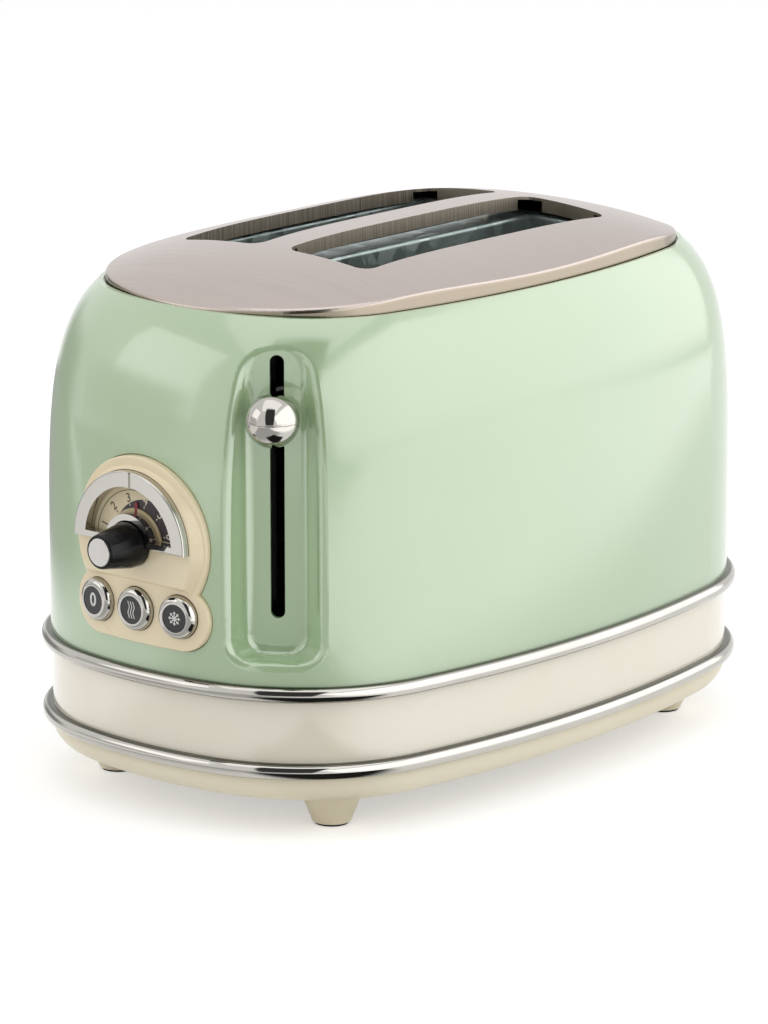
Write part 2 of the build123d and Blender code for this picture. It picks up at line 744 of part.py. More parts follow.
with BuildPart() as crumb_tray_handle:
    add(pan_form())
    handle_top = LOWER_RING_Z - TRAY_PLAY
    with BuildSketch(Plane.XZ.offset(-TRAY_CAP_Y)):
        with Locations((0, (handle_top + tray_z) / 2)):
            Rectangle(2 * TRAY_HALF_WIDTH, handle_top - tray_z)
    extrude(amount=-HANDLE_REACH, mode=Mode.INTERSECT)
    # A pocket behind the wall, and a groove for the fingers across its outside.
    with BuildSketch(Plane.XY.offset(handle_top)):
        with Locations((0, TRAY_CAP_Y + POCKET_SET_BACK)):
            Rectangle(2 * (TRAY_HALF_WIDTH - POCKET_MARGIN), POCKET_WIDTH)
    extrude(amount=-POCKET_DEPTH, mode=Mode.SUBTRACT)
    with BuildSketch(Plane.XZ.offset(-BASE_PLAN[1] - GROOVE_START)):
        with Locations((0, handle_top - GROOVE_DROP)):
            SlotOverall(GROOVE_LENGTH, GROOVE_HEIGHT)
    extrude(amount=GROOVE_DEPTH, mode=Mode.SUBTRACT)
crumb_tray_handle.part.label = "crumb_tray_handle"

with BuildPart() as cord_gland:
    gland_plane = Plane.XZ.offset(-BASE_PLAN[1])
    with BuildSketch(gland_plane.offset(GLAND_INSIDE)):
        with Locations((0, GLAND_Z)):
            Circle(GLAND_RADIUS)
    extrude(amount=-GLAND_INSIDE + BAND_SET_BACK)
    with BuildSketch(gland_plane.offset(BAND_SET_BACK)):
        with Locations((0, GLAND_Z)):
            Circle(GLAND_RADIUS + GLAND_FLANGE)
    extrude(amount=-GLAND_FLANGE_THICKNESS)
    fillet(cord_gland.faces().sort_by(Axis.Y)[-1].edges(), GLAND_EDGE)
    with BuildSketch(gland_plane.offset(GLAND_CUT)):
        with Locations((0, GLAND_Z)):
            Circle(GLAND_BORE)
    extrude(amount=-2 * GLAND_CUT, mode=Mode.SUBTRACT)
cord_gland.part.label = "cord_gland"


# ---------------------------------------------------------------- control panel
post_places = [(side * x, z) for side in (-1, 1) for x, z in PANEL_POSTS]


def dial_disc(radius, back_y, front_y):
    """A round solid on the dial's axis between two depths."""
    with BuildPart() as disc:
        with BuildSketch(dial_plane(back_y)):
            Circle(radius)
        extrude(amount=back_y - front_y)
    return disc.part


def dial_half_disc(radius, back_y, front_y, drop=DIAL_DROP, draft=0.0):
    """The same with its lower part cut off level under the axis, and drawn in by a draft."""
    with BuildPart() as disc:
        with BuildSketch(dial_plane(back_y)):
            Circle(radius)
            with Locations((0, -radius - drop)):
                Rectangle(2 * radius, 2 * radius, mode=Mode.SUBTRACT)
        extrude(amount=back_y - front_y, taper=draft)
    return disc.part


def dial_through(radius):
    """A round cut on the dial's axis that passes through everything there."""
    return dial_disc(radius, DIAL_CUT_BACK_Y, DIAL_CUT_FRONT_Y)


with BuildPart() as panel_flange:
    add(shell_inside)
    add(recess_form(SHELL_WALL + RECESS_CLEARANCE), mode=Mode.SUBTRACT)
    add(shell_form(SHELL_Z - 3, PLATE_Z, -SHELL_WALL - FLANGE), mode=Mode.SUBTRACT)
    extrude(panel_face(PANEL_CUT_Y, FLANGE_WIDTH), amount=PANEL_CUT, mode=Mode.INTERSECT)

# The softly raised area round the dial.
with BuildPart() as dial_rise:
    rise_span = (RAISED_BACK_Y, RAISED_FACE_Y)
    add(dial_half_disc(RAISED_RADIUS, *rise_span, RAISED_DROP, RAISED_DRAFT))
    fillet(dial_rise.faces().sort_by(Axis.Y)[0].edges(), RAISED_EDGE)

with BuildPart() as control_panel:
    # The face is part of an upright cylinder that shares the end wall's centre.
    with BuildSketch(Plane.XY.offset(SHELL_Z)):
        with Locations((0, end_centre_y)):
            Circle(BASE_PLAN[3] + PANEL_PROUD)
            Circle(BASE_PLAN[3] - PANEL_DEPTH, mode=Mode.SUBTRACT)
    extrude(amount=PLATE_Z - SHELL_Z)
    extrude(panel_face(PANEL_CUT_Y), amount=PANEL_CUT, mode=Mode.INTERSECT)
    fillet(control_panel.faces().sort_by(Axis.Y)[0].outer_wire().edges(), PANEL_EDGE)
    add(dial_rise.part)
    # A flange behind the shell's wall, and posts that hold the control board.
    add(panel_flange.part)
    with BuildSketch(Plane.XZ.offset(-BOARD_Y)):
        with Locations(*post_places):
            Circle(POST_RADIUS)
    extrude(amount=POST_LENGTH)
    seat_radius = BEZEL_RADIUS + SEAT_GAP
    dial_seat = dial_half_disc(seat_radius, DIAL_CUT_BACK_Y, DIAL_CUT_FRONT_Y)
    add(dial_seat, mode=Mode.SUBTRACT)
    pocket_y = POINTER_FRONT_Y - POINTER_PLAY
    pointer_pocket = dial_disc(POINTER_RADIUS + POINTER_ROOM, DIAL_CUT_BACK_Y, pocket_y)
    add(pointer_pocket, mode=Mode.SUBTRACT)
    add(dial_through(SHAFT_RADIUS + SHAFT_ROOM), mode=Mode.SUBTRACT)
    for x in (-BUTTON_X, 0, BUTTON_X):
        with BuildSketch(button_plane(x, -BUTTON_CUT_BACK)):
            Circle(BUTTON_RADIUS + BUTTON_PLAY)
        extrude(amount=BUTTON_CUT, mode=Mode.SUBTRACT)
control_panel.part.label = "control_panel"

with BuildPart() as dial_face:
    add(dial_half_disc(seat_radius, DIAL_FACE_Y + DIAL_THICKNESS, DIAL_FACE_Y))
    add(dial_through(SHAFT_RADIUS + SHAFT_ROOM), mode=Mode.SUBTRACT)
dial_face.part.label = "dial_face"

with BuildPart() as dial_bezel:
    add(dial_half_disc(BEZEL_RADIUS, DIAL_FACE_Y, BEZEL_FACE_Y))
    fillet(dial_bezel.faces().sort_by(Axis.Y)[0].outer_wire().edges(), BEZEL_EDGE)
    # The tick that marks the top of the scale.
    with BuildSketch(dial_plane(DIAL_FACE_Y)):
        with Locations((0, (WINDOW_RADIUS + BEZEL_RADIUS) / 2)):
            Rectangle(TICK_WIDTH, BEZEL_RADIUS - WINDOW_RADIUS)
    extrude(amount=DIAL_FACE_Y - BEZEL_FACE_Y + TICK_HEIGHT)
    # The window over the bar, then the hub ring that stands in it.
    window = dial_half_disc(WINDOW_RADIUS, DIAL_FACE_Y, BEZEL_FACE_Y, -BAR_TOP)
    add(window, mode=Mode.SUBTRACT)
    bar_back_y = POINTER_FRONT_Y - POINTER_PLAY
    behind_bar = dial_half_disc(WINDOW_RADIUS, DIAL_FACE_Y, bar_back_y, DIAL_DROP + 1)
    add(behind_bar, mode=Mode.SUBTRACT)
    add(dial_half_disc(HUB_RADIUS, bar_back_y, BEZEL_FACE_Y, 0))
    add(dial_through(KNOB_RADIUS + KNOB_ROOM), mode=Mode.SUBTRACT)
dial_bezel.part.label = "dial_bezel"

with BuildPart() as pointer_disc:
    add(dial_disc(POINTER_RADIUS, POINTER_FRONT_Y + POINTER_THICKNESS, POINTER_FRONT_Y))
    with BuildSketch(dial_plane(POINTER_FRONT_Y + POINTER_THICKNESS)):
        with BuildLine():
            Polyline(
                (-POINTER_ROOT_HALF, POINTER_ROOT),
                (POINTER_ROOT_HALF, POINTER_ROOT),
                (POINTER_TIP_HALF, POINTER_TIP),
                (-POINTER_TIP_HALF, POINTER_TIP),
                close=True,
            )
        make_face()
    extrude(amount=POINTER_THICKNESS)
    add(dial_through(SHAFT_RADIUS), mode=Mode.SUBTRACT)
pointer_disc.part.label = "pointer_disc"

with BuildPart() as dial_shaft:
    add(dial_disc(SHAFT_RADIUS, BOARD_Y - POT_FLOOR - SHAFT_END_GAP, KNOB_BACK_Y))
    chamfer(dial_shaft.faces().sort_by(Axis.Y)[-1].edges(), SHAFT_CHAMFER)
dial_shaft.part.label = "dial_shaft"

with BuildPart() as browning_knob:
    add(dial_disc(KNOB_RADIUS, KNOB_BACK_Y, KNOB_SKIRT_Y))
    with BuildSketch(dial_plane(KNOB_SKIRT_Y)):
        Circle(KNOB_RADIUS)
    with BuildSketch(dial_plane(KNOB_FRONT_Y)):
        Circle(KNOB_FRONT_RADIUS)
    loft()
    fillet(browning_knob.faces().sort_by(Axis.Y)[0].edges(), KNOB_EDGE)
    cap_seat_y = KNOB_FRONT_Y + CAP_DEPTH
    add(dial_disc(KNOB_CAP_RADIUS, cap_seat_y, KNOB_FRONT_Y), mode=Mode.SUBTRACT)
browning_knob.part.label = "browning_knob"

with BuildPart() as knob_cap:
    add(dial_disc(KNOB_CAP_RADIUS, cap_seat_y, KNOB_FRONT_Y - CAP_PROUD))
    chamfer(knob_cap.faces().sort_by(Axis.Y)[0].edges(), CAP_CHAMFER)
knob_cap.part.label = "knob_cap"

with BuildPart() as dial_potentiometer:
    with BuildSketch(dial_plane(BOARD_Y)):
        RectangleRounded(POT_SIZE, POT_SIZE, POT_CORNER)
    extrude(amount=POT_DEPTH)
    add(dial_disc(POT_NECK_RADIUS, BOARD_Y, BOARD_Y - POT_NECK_END))
    pot_bore = dial_disc(SHAFT_RADIUS + RUNNING_GAP, BOARD_Y - POT_FLOOR, DIAL_CUT_FRONT_Y)
    add(pot_bore, mode=Mode.SUBTRACT)
dial_potentiometer.part.label = "dial_potentiometer"

with BuildPart() as control_board:
    with BuildSketch(Plane.XZ.offset(-BOARD_Y - BOARD_THICKNESS)):
        with Locations((0, (BOARD_BOTTOM + BOARD_TOP) / 2)):
            RectangleRounded(2 * BOARD_HALF_WIDTH, BOARD_TOP - BOARD_BOTTOM, BOARD_CORNER)
    extrude(amount=BOARD_THICKNESS)
    # A switch behind each button, and parts on the back.
    with BuildSketch(Plane.XZ.offset(-BOARD_Y)):
        with Locations(*[(x, BUTTON_Z) for x in SWITCH_X]):
            Rectangle(SWITCH_SIZE, SWITCH_SIZE)
    extrude(amount=SWITCH_HEIGHT)
    with BuildSketch(Plane.XZ.offset(-BOARD_Y - BOARD_THICKNESS)):
        with Locations(*CHIP_PLACES):
            Rectangle(CHIP_WIDTH, CHIP_HEIGHT)
        with Locations(*CAPACITOR_PLACES):
            Circle(CAPACITOR_RADIUS)
    extrude(amount=-COMPONENT_DEPTH)
control_board.part.label = "control_board"


# ---------------------------------------------------------------- push buttons
def push_button(x):
    """A domed button with a collar behind the panel and a plunger to its switch."""
    axis_plane = button_plane(x)
    with BuildPart() as button:
        with BuildSketch(axis_plane.offset(-BUTTON_DEPTH)):
            Circle(BUTTON_RADIUS)
        extrude(amount=BUTTON_DEPTH + BUTTON_FACE)
        outwards = Axis(axis_plane.origin, axis_plane.z_dir)
        fillet(button.edges().sort_by(outwards)[-1], BUTTON_EDGE)
        with BuildSketch(axis_plane.offset(BUTTON_FACE - INSET_DEPTH)):
            Circle(INSET_RADIUS)
        extrude(amount=INSET_DEPTH, mode=Mode.SUBTRACT)
        with BuildSketch(axis_plane.offset(-BUTTON_DEPTH)):
            Circle(BUTTON_RADIUS + COLLAR_OUT)
        extrude(amount=COLLAR_THICKNESS)
        with BuildSketch(axis_plane.offset(-PLUNGER_END)):
            Circle(PLUNGER_RADIUS)
        extrude(amount=PLUNGER_END - BUTTON_DEPTH)
    return button.part


def button_inset(x):
    """The dark disc that carries a button's symbol."""
    with BuildPart() as inset:
        with BuildSketch(button_plane(x, BUTTON_FACE - INSET_DEPTH)):
            Circle(INSET_RADIUS)
        extrude(amount=INSET_DEPTH - INSET_SINK)
    return inset.part


button_names = {"stop": -BUTTON_X, "reheat": 0.0, "defrost": BUTTON_X}
button_parts = {}
for name, x in button_names.items():
    with BuildPart() as button:
        add(push_button(x))
    button.part.label = f"{name}_button"
    with BuildPart() as inset:
        add(button_inset(x))
    inset.part.label = f"{name}_button_inset"
    button_parts[button.part.label] = button.part
    button_parts[inset.part.label] = inset.part


# ---------------------------------------------------------------- lever
with BuildPart() as lever_stem:
    with BuildSketch(recess_front(BALL_Z, STEM_REACH)):
        Rectangle(STEM_WIDTH, STEM_HEIGHT)
    extrude(amount=STEM_REACH + BALL_REACH)
    carriage_front = Plane.XZ.offset(-CARRIAGE_BACK_Y + CARRIAGE_THICKNESS)
    split(bisect_by=carriage_front, keep=Keep.TOP)
lever_stem.part.label = "lever_stem"

ball_centre = Vector(*RECESS_FLOOR, BALL_Z) + RECESS_OUT * BALL_REACH
ball_parts = {}
for name, keep in (("lever_ball_upper", Keep.TOP), ("lever_ball_lower", Keep.BOTTOM)):
    with BuildPart() as half:
        with Locations(ball_centre):
            Sphere(BALL_RADIUS)
        split(bisect_by=Plane.XY.offset(BALL_Z), keep=keep)
        chamfer(half.faces().filter_by(Plane.XY).edges(), BALL_SEAM)
        add(lever_stem.part, mode=Mode.SUBTRACT)
    half.part.label = name
    ball_parts[name] = half.part

with BuildPart() as slot_liner:
    liner_depth = LINER_DEPTH + SHELL_WALL
    middle_z = (LEVER_SLOT_BOTTOM + LEVER_SLOT_TOP) / 2
    pocket_width = LEVER_SLOT_WIDTH + 2 * LINER_SIDE_PLAY
    pocket_height = slot_length + 2 * LINER_END_PLAY
    with BuildSketch(recess_front(middle_z, liner_depth)):
        Rectangle(pocket_width + 2 * LINER_WALL, pocket_height + 2 * LINER_WALL)
    extrude(amount=LINER_DEPTH)
    with BuildSketch(recess_front(middle_z, liner_depth - LINER_FLOOR)):
        Rectangle(pocket_width, pocket_height)
    extrude(amount=LINER_DEPTH, mode=Mode.SUBTRACT)
    with BuildSketch(recess_front(middle_z, liner_depth)):
        Rectangle(STEM_WIDTH + 2 * LINER_SLIT_PLAY, slot_length)
    extrude(amount=LINER_FLOOR, mode=Mode.SUBTRACT)
slot_liner.part.label = "slot_liner"


# ---------------------------------------------------------------- bread chambers
guide_columns = {
    "left_outer": -GUIDE_OUTER_X,
    "left_inner": -GUIDE_INNER_X,
    "right_inner": GUIDE_INNER_X,
    "right_outer": GUIDE_OUTER_X,
}
slot_middles = (-SLOT_MIDDLE_X, SLOT_MIDDLE_X)


def folded_sheet(plane, points, length, side):
    """Sheet metal folded along a line of points, thickened to one side and extruded."""
    with BuildPart() as sheet:
        with BuildSketch(plane):
            with BuildLine():
                FilletPolyline(*points, radius=FOLD_RADIUS)
                offset(amount=SHEET, side=side)
            make_face()
        extrude(amount=length)
    return sheet.part


with BuildPart() as chassis_sheet:
    wall_y = -CHAMBER_HALF_LENGTH
    outline = (
        (wall_y - CHASSIS_FOOT, CHASSIS_FOOT_Z),
        (wall_y, CHASSIS_FOOT_Z),
        (wall_y, CHAMBER_TOP),
        (wall_y - TOP_FLANGE, CHAMBER_TOP),
    )
    start = Plane.YZ.offset(-CHASSIS_HALF_WIDTH)
    add(folded_sheet(start, outline, 2 * CHASSIS_HALF_WIDTH, Side.LEFT))
    # Wide feet that stand on the base's pillars.
    with BuildSketch(Plane.XY.offset(CHASSIS_FOOT_Z)):
        with Locations((0, -PILLAR_Y)):
            Rectangle(2 * (PILLAR_X + CHASSIS_EAR), CHASSIS_EAR_DEPTH)
    extrude(amount=SHEET)
    # Slots that the bread racks run in, and bearings for the guide cages.
    with BuildSketch(Plane.XZ.offset(-wall_y)):
        with Locations(*[(x, (RACK_LOW + RACK_HIGH) / 2) for x in slot_middles]):
            SlotOverall(RACK_HIGH - RACK_LOW, RACK_SLOT, rotation=90)
        with Locations(*[(x, GUIDE_PIVOT_Z) for x in guide_columns.values()]):
            Circle(PIVOT_RADIUS + RUNNING_GAP)
    extrude(amount=2 * SHEET, both=True, mode=Mode.SUBTRACT)

with BuildPart() as chassis_front:
    add(chassis_sheet.part)
    # A tab over the lift mechanism that holds the top of the guide rod.
    tab_reach = TAB_END_Y - wall_y
    with BuildSketch(Plane.XY.offset(CHAMBER_TOP - SHEET)):
        with Locations((0, wall_y + (tab_reach - TOP_FLANGE) / 2)):
            Rectangle(2 * TAB_HALF_WIDTH, -tab_reach - TOP_FLANGE + TAB_LAP)
    extrude(amount=SHEET)
chassis_front.part.label = "chassis_front"

with BuildPart() as chassis_rear:
    add(mirror(chassis_sheet.part, about=Plane.XZ, mode=Mode.PRIVATE))
chassis_rear.part.label = "chassis_rear"

with BuildPart() as heat_shield_right:
    outline = (
        (CHAMBER_OUTER_X, CHAMBER_BOTTOM),
        (CHAMBER_OUTER_X, CHAMBER_TOP),
        (CHAMBER_OUTER_X + TOP_FLANGE, CHAMBER_TOP),
    )
    start = Plane.XZ.offset(-CHAMBER_HALF_LENGTH)
    add(folded_sheet(start, outline, 2 * CHAMBER_HALF_LENGTH, Side.RIGHT))
heat_shield_right.part.label = "heat_shield_right"

with BuildPart() as heat_shield_left:
    add(mirror(heat_shield_right.part, about=Plane.YZ, mode=Mode.PRIVATE))
heat_shield_left.part.label = "heat_shield_left"

with BuildPart() as chamber_divider:
    outline = (
        (-DIVIDER_X, DIVIDER_BOTTOM),
        (-DIVIDER_X, CHAMBER_TOP),
        (DIVIDER_X, CHAMBER_TOP),
        (DIVIDER_X, DIVIDER_BOTTOM),
    )
    start = Plane.XZ.offset(-CHAMBER_HALF_LENGTH)
    add(folded_sheet(start, outline, 2 * CHAMBER_HALF_LENGTH, Side.RIGHT))
chamber_divider.part.label = "chamber_divider"


def heater_card(x, facing):
    """A mica card between the chassis ends, with its ribbon on the side that faces."""
    with BuildPart() as card:
        with BuildSketch(Plane.YZ.offset(x)):
            with Locations((0, (HEATER_BOTTOM + HEATER_TOP) / 2)):
                Rectangle(2 * CHAMBER_HALF_LENGTH, HEATER_TOP - HEATER_BOTTOM)
        extrude(amount=-facing * MICA)
        ribbon_pitch = (HEATER_TOP - HEATER_BOTTOM - 2 * RIBBON_MARGIN) / (RIBBON_ROWS - 1)
        with BuildSketch(Plane.YZ.offset(x)):
            with Locations((0, (HEATER_BOTTOM + HEATER_TOP) / 2)):
                with GridLocations(1, ribbon_pitch, 1, RIBBON_ROWS):
                    Rectangle(2 * (CHAMBER_HALF_LENGTH - RIBBON_END), RIBBON_WIDTH)
        extrude(amount=facing * RIBBON)
    return card.part


def guide_cage(x, flare):
    """Wires that centre the bread, hinged on the bottom wire; flare is the top's lean."""
    end = CHAMBER_HALF_LENGTH + SHEET + PIVOT_OVERHANG
    with BuildPart() as cage:
        with BuildSketch(Plane.XZ.offset(-end)):
            with Locations((x, GUIDE_PIVOT_Z)):
                Circle(PIVOT_RADIUS)
        extrude(amount=2 * end)
        with BuildSketch(Plane.XZ.offset(-GUIDE_HALF_LENGTH)):
            with Locations((x + flare * GUIDE_FLARE, GUIDE_TOP)):
                Circle(WIRE_RADIUS)
        extrude(amount=2 * GUIDE_HALF_LENGTH)
        pitch = 2 * GUIDE_HALF_LENGTH / (GUIDE_WIRES - 1)
        for index in range(GUIDE_WIRES):
            y = -GUIDE_HALF_LENGTH + index * pitch
            with BuildLine(Plane.XZ.offset(-y)) as wire:
                FilletPolyline(
                    (x, GUIDE_PIVOT_Z),
                    (x, GUIDE_TOP - GUIDE_BEND_DROP),
                    (x + flare * GUIDE_FLARE, GUIDE_TOP),
                    radius=GUIDE_BEND,
                )
            with BuildSketch(Plane(wire.line @ 0, z_dir=wire.line % 0)):
                Circle(UPRIGHT_RADIUS)
            sweep(path=wire.line)
    return cage.part


heaters = {}
guides = {}
for name, guide_x in guide_columns.items():
    outer = name.endswith("outer")
    sign = 1 if guide_x > 0 else -1
    away = sign if outer else -sign
    heater_x = sign * (HEATER_OUTER_X if outer else HEATER_INNER_X)
    with BuildPart() as heater:
        add(heater_card(heater_x, -away))
    heater.part.label = f"heater_{name}"
    heaters[heater.part.label] = heater.part
    with BuildPart() as guide:
        add(guide_cage(guide_x, away))
    guide.part.label = f"bread_guide_{name}"
    guides[guide.part.label] = guide.part


# ---------------------------------------------------------------- lift mechanism
racks = {}
for name, x in zip(("bread_rack_left", "bread_rack_right"), slot_middles):
    with BuildPart() as rack:
        rack_length = RACK_END_Y - CARRIAGE_BACK_Y
        with BuildSketch(Plane.XY.offset(RACK_TOP - RACK_HEIGHT)):
            with Locations((x, CARRIAGE_BACK_Y + rack_length / 2)):
                Rectangle(RACK_THICKNESS, rack_length)
        extrude(amount=RACK_HEIGHT)
        with BuildSketch(Plane.XY.offset(RACK_TOP - FINGER_HEIGHT)):
            with Locations((x, 0)):
                with GridLocations(1, FINGER_PITCH, 1, RACK_FINGERS):
                    Rectangle(2 * RACK_HALF_WIDTH, RACK_THICKNESS)
        extrude(amount=FINGER_HEIGHT)
    rack.part.label = name
    racks[name] = rack.part

with BuildPart() as carriage:
    with BuildSketch(Plane.XZ.offset(-CARRIAGE_BACK_Y)):
        with Locations((0, (CARRIAGE_BOTTOM + CARRIAGE_TOP) / 2)):
            carriage_height = CARRIAGE_TOP - CARRIAGE_BOTTOM
            RectangleRounded(2 * CARRIAGE_HALF_WIDTH, carriage_height, CARRIAGE_CORNER)
        for side in (-1, 1):
            with Locations((side * (CARRIAGE_HALF_WIDTH - NOTCH_INSET), CARRIAGE_TOP)):
                Rectangle(NOTCH_WIDTH, 2 * NOTCH_DEPTH, mode=Mode.SUBTRACT)
    extrude(amount=CARRIAGE_THICKNESS)
    with BuildSketch(Plane.XY.offset(CARRIAGE_BOTTOM)):
        with Locations((0, ROD_Y)):
            Circle(BUSH_RADIUS)
        with Locations((0, (ROD_Y + CARRIAGE_BACK_Y) / 2 - CARRIAGE_THICKNESS / 2)):
            Rectangle(WEB_WIDTH, CARRIAGE_BACK_Y - ROD_Y - CARRIAGE_THICKNESS)
    extrude(amount=CARRIAGE_TOP - CARRIAGE_BOTTOM)
    # A lug that the spring hooks on.
    lug_front = ROD_Y - LUG_REACH
    lug_back = CARRIAGE_BACK_Y - CARRIAGE_THICKNESS
    with BuildSketch(Plane.XY.offset(SPRING_LOW - LUG_THICKNESS)):
        with Locations((SPRING_X, (lug_front + lug_back) / 2)):
            Rectangle(LUG_WIDTH, lug_back - lug_front)
    extrude(amount=LUG_THICKNESS)
    with BuildSketch(Plane.XY.offset(CARRIAGE_BOTTOM)):
        with Locations((0, ROD_Y)):
            Circle(ROD_RADIUS + RUNNING_GAP)
    extrude(amount=THROUGH, mode=Mode.SUBTRACT)
carriage.part.label = "carriage"

with BuildPart() as latch_plate:
    front_y = ROD_Y - LATCH_REACH
    back_y = CARRIAGE_BACK_Y - CARRIAGE_THICKNESS
    with BuildSketch(Plane.XY.offset(CARRIAGE_BOTTOM - LATCH_DROP)):
        with Locations((MAGNET_X, (front_y + back_y) / 2)):
            RectangleRounded(LATCH_WIDTH, back_y - front_y, LATCH_CORNER)
    extrude(amount=LATCH_THICKNESS)
latch_plate.part.label = "latch_plate"

with BuildPart() as electromagnet:
    magnet_z = CHASSIS_FOOT_Z + SHEET
    magnet_y = ROD_Y - MAGNET_SET_BACK
    latched_z = CARRIAGE_BOTTOM - LATCH_DROP - LEVER_DROP
    with BuildSketch(Plane.XY.offset(magnet_z)):
        with Locations((MAGNET_X, magnet_y)):
            Rectangle(MAGNET_WIDTH, MAGNET_DEPTH)
    extrude(amount=MAGNET_BASE)
    with BuildSketch(Plane.XY.offset(magnet_z + MAGNET_BASE)):
        with Locations((MAGNET_X - POLE_X, magnet_y), (MAGNET_X + POLE_X, magnet_y)):
            Rectangle(POLE_WIDTH, POLE_DEPTH)
    extrude(amount=latched_z - MAGNET_GAP - magnet_z - MAGNET_BASE)
    with BuildSketch(Plane.YZ.offset(MAGNET_X - COIL_HALF_LENGTH)):
        with Locations((magnet_y, magnet_z + COIL_LIFT)):
            Circle(COIL_RADIUS)
    extrude(amount=2 * COIL_HALF_LENGTH)
electromagnet.part.label = "electromagnet"

with BuildPart() as guide_rod:
    with BuildSketch(Plane.XY.offset(CHASSIS_FOOT_Z + SHEET)):
        with Locations((0, ROD_Y)):
            Circle(ROD_RADIUS)
    extrude(amount=CHAMBER_TOP - CHASSIS_FOOT_Z - 2 * SHEET)
guide_rod.part.label = "guide_rod"

with BuildPart() as return_spring:
    spring_length = CHAMBER_TOP - SHEET - SPRING_LOW - 2 * SPRING_WIRE
    coil_centre = (SPRING_X, ROD_Y, SPRING_LOW + SPRING_WIRE)
    with BuildLine() as coil:
        Helix(spring_length / SPRING_TURNS, spring_length, SPRING_RADIUS, center=coil_centre)
    with BuildSketch(Plane(coil.line @ 0, z_dir=coil.line % 0)):
        Circle(SPRING_WIRE)
    sweep(path=coil.line, is_frenet=True)
return_spring.part.label = "return_spring"


# ---------------------------------------------------------------- written pieces
pieces = [
    body_shell.part, top_plate.part, base_band.part, upper_trim_ring.part,
    lower_trim_ring.part, base_pan.part, base_screws.part, foot_pads.part,
    crumb_tray.part, crumb_tray_handle.part, cord_gland.part, control_panel.part,
    dial_face.part, dial_bezel.part, pointer_disc.part, dial_shaft.part,
    browning_knob.part, knob_cap.part, dial_potentiometer.part, control_board.part,
    lever_stem.part, slot_liner.part, chassis_front.part, chassis_rear.part,
    heat_shield_left.part, heat_shield_right.part, chamber_divider.part, carriage.part,
    latch_plate.part, electromagnet.part, guide_rod.part, return_spring.part,
]
for group in (feet, button_parts, ball_parts, heaters, guides, racks):
    pieces.extend(group.values())

# The knob stands out in front, so each piece moves back to put the origin under the
# middle of the whole toaster.
for piece in pieces:
    placed = piece.moved(Location((0, CENTRE_SHIFT, 0)))
    placed.label = piece.label
    export_step(placed, f"parts/{piece.label}.step")
print(len(pieces), "pieces written")
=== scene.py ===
# %% [markdown]
# # Dressing a two-slot pop-up toaster
# The imported model already holds every rigid piece at its real size. This script gives
# each one its finish, adds the thin printed marks that a solid model leaves out, and
# sets up a camera and a plain studio. It starts by loading the frame.

# %% Load the frame
import json
import math

import bmesh
import bpy
from mathutils import Matrix, Vector


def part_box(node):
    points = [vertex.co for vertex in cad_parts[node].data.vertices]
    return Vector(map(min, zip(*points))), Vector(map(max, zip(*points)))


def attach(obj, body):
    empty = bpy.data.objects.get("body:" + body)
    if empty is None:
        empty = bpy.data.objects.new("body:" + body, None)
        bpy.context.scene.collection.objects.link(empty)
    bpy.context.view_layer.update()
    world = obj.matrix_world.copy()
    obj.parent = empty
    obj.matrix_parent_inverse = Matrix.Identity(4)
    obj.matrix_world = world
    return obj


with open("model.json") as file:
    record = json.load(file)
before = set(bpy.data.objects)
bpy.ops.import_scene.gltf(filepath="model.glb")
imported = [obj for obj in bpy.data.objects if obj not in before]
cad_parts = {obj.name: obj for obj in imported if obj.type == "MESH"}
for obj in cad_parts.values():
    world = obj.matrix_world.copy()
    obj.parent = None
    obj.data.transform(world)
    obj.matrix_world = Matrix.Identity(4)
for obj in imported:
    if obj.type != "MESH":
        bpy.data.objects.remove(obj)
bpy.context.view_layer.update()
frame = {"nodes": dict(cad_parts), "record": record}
MM = 0.001
print("pieces in the frame:", len(frame["nodes"]))

# %% [markdown]
# ## Where things are
# The dial's axis, the dial's face and the middle of the plan are read from the frame, so
# a change in the model moves the marks with it. The body is symmetrical about the
# middle of the cream band, while the knob makes the whole box longer in front.

# %% Landmarks
band_low, band_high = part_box("base_band")
PLAN_MIDDLE = Vector((0, (band_low.y + band_high.y) / 2, 0))
knob_low, knob_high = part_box("browning_knob")
DIAL_AXIS = Vector((0, 0, (knob_low.z + knob_high.z) / 2))
DIAL_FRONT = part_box("dial_face")[0].y
print("plan middle", PLAN_MIDDLE, "dial front", round(DIAL_FRONT, 5))

# %% [markdown]
# ## The camera
# A long lens from a little over two metres keeps the long side's edges nearly parallel.
# The camera is placed by its direction from the toaster, so the numbers say plainly how
# far round it stands, how high and how far away.

# %% Camera
CAMERA_AZIMUTH = math.radians(40.478)
CAMERA_ELEVATION = math.radians(13.831)
CAMERA_DISTANCE = 2.0865
CAMERA_LENS = 183.11
SENSOR_WIDTH = 36
AIM_HEIGHT = 100 * MM
AIM_RIGHT = -4.83 * MM
AIM_UP = -5.92 * MM


def direction_from(azimuth, elevation):
    """Unit vector towards a point that far round from the control end and that high."""
    level = math.cos(elevation)
    return Vector((math.sin(azimuth) * level, -math.cos(azimuth) * level, math.sin(elevation)))


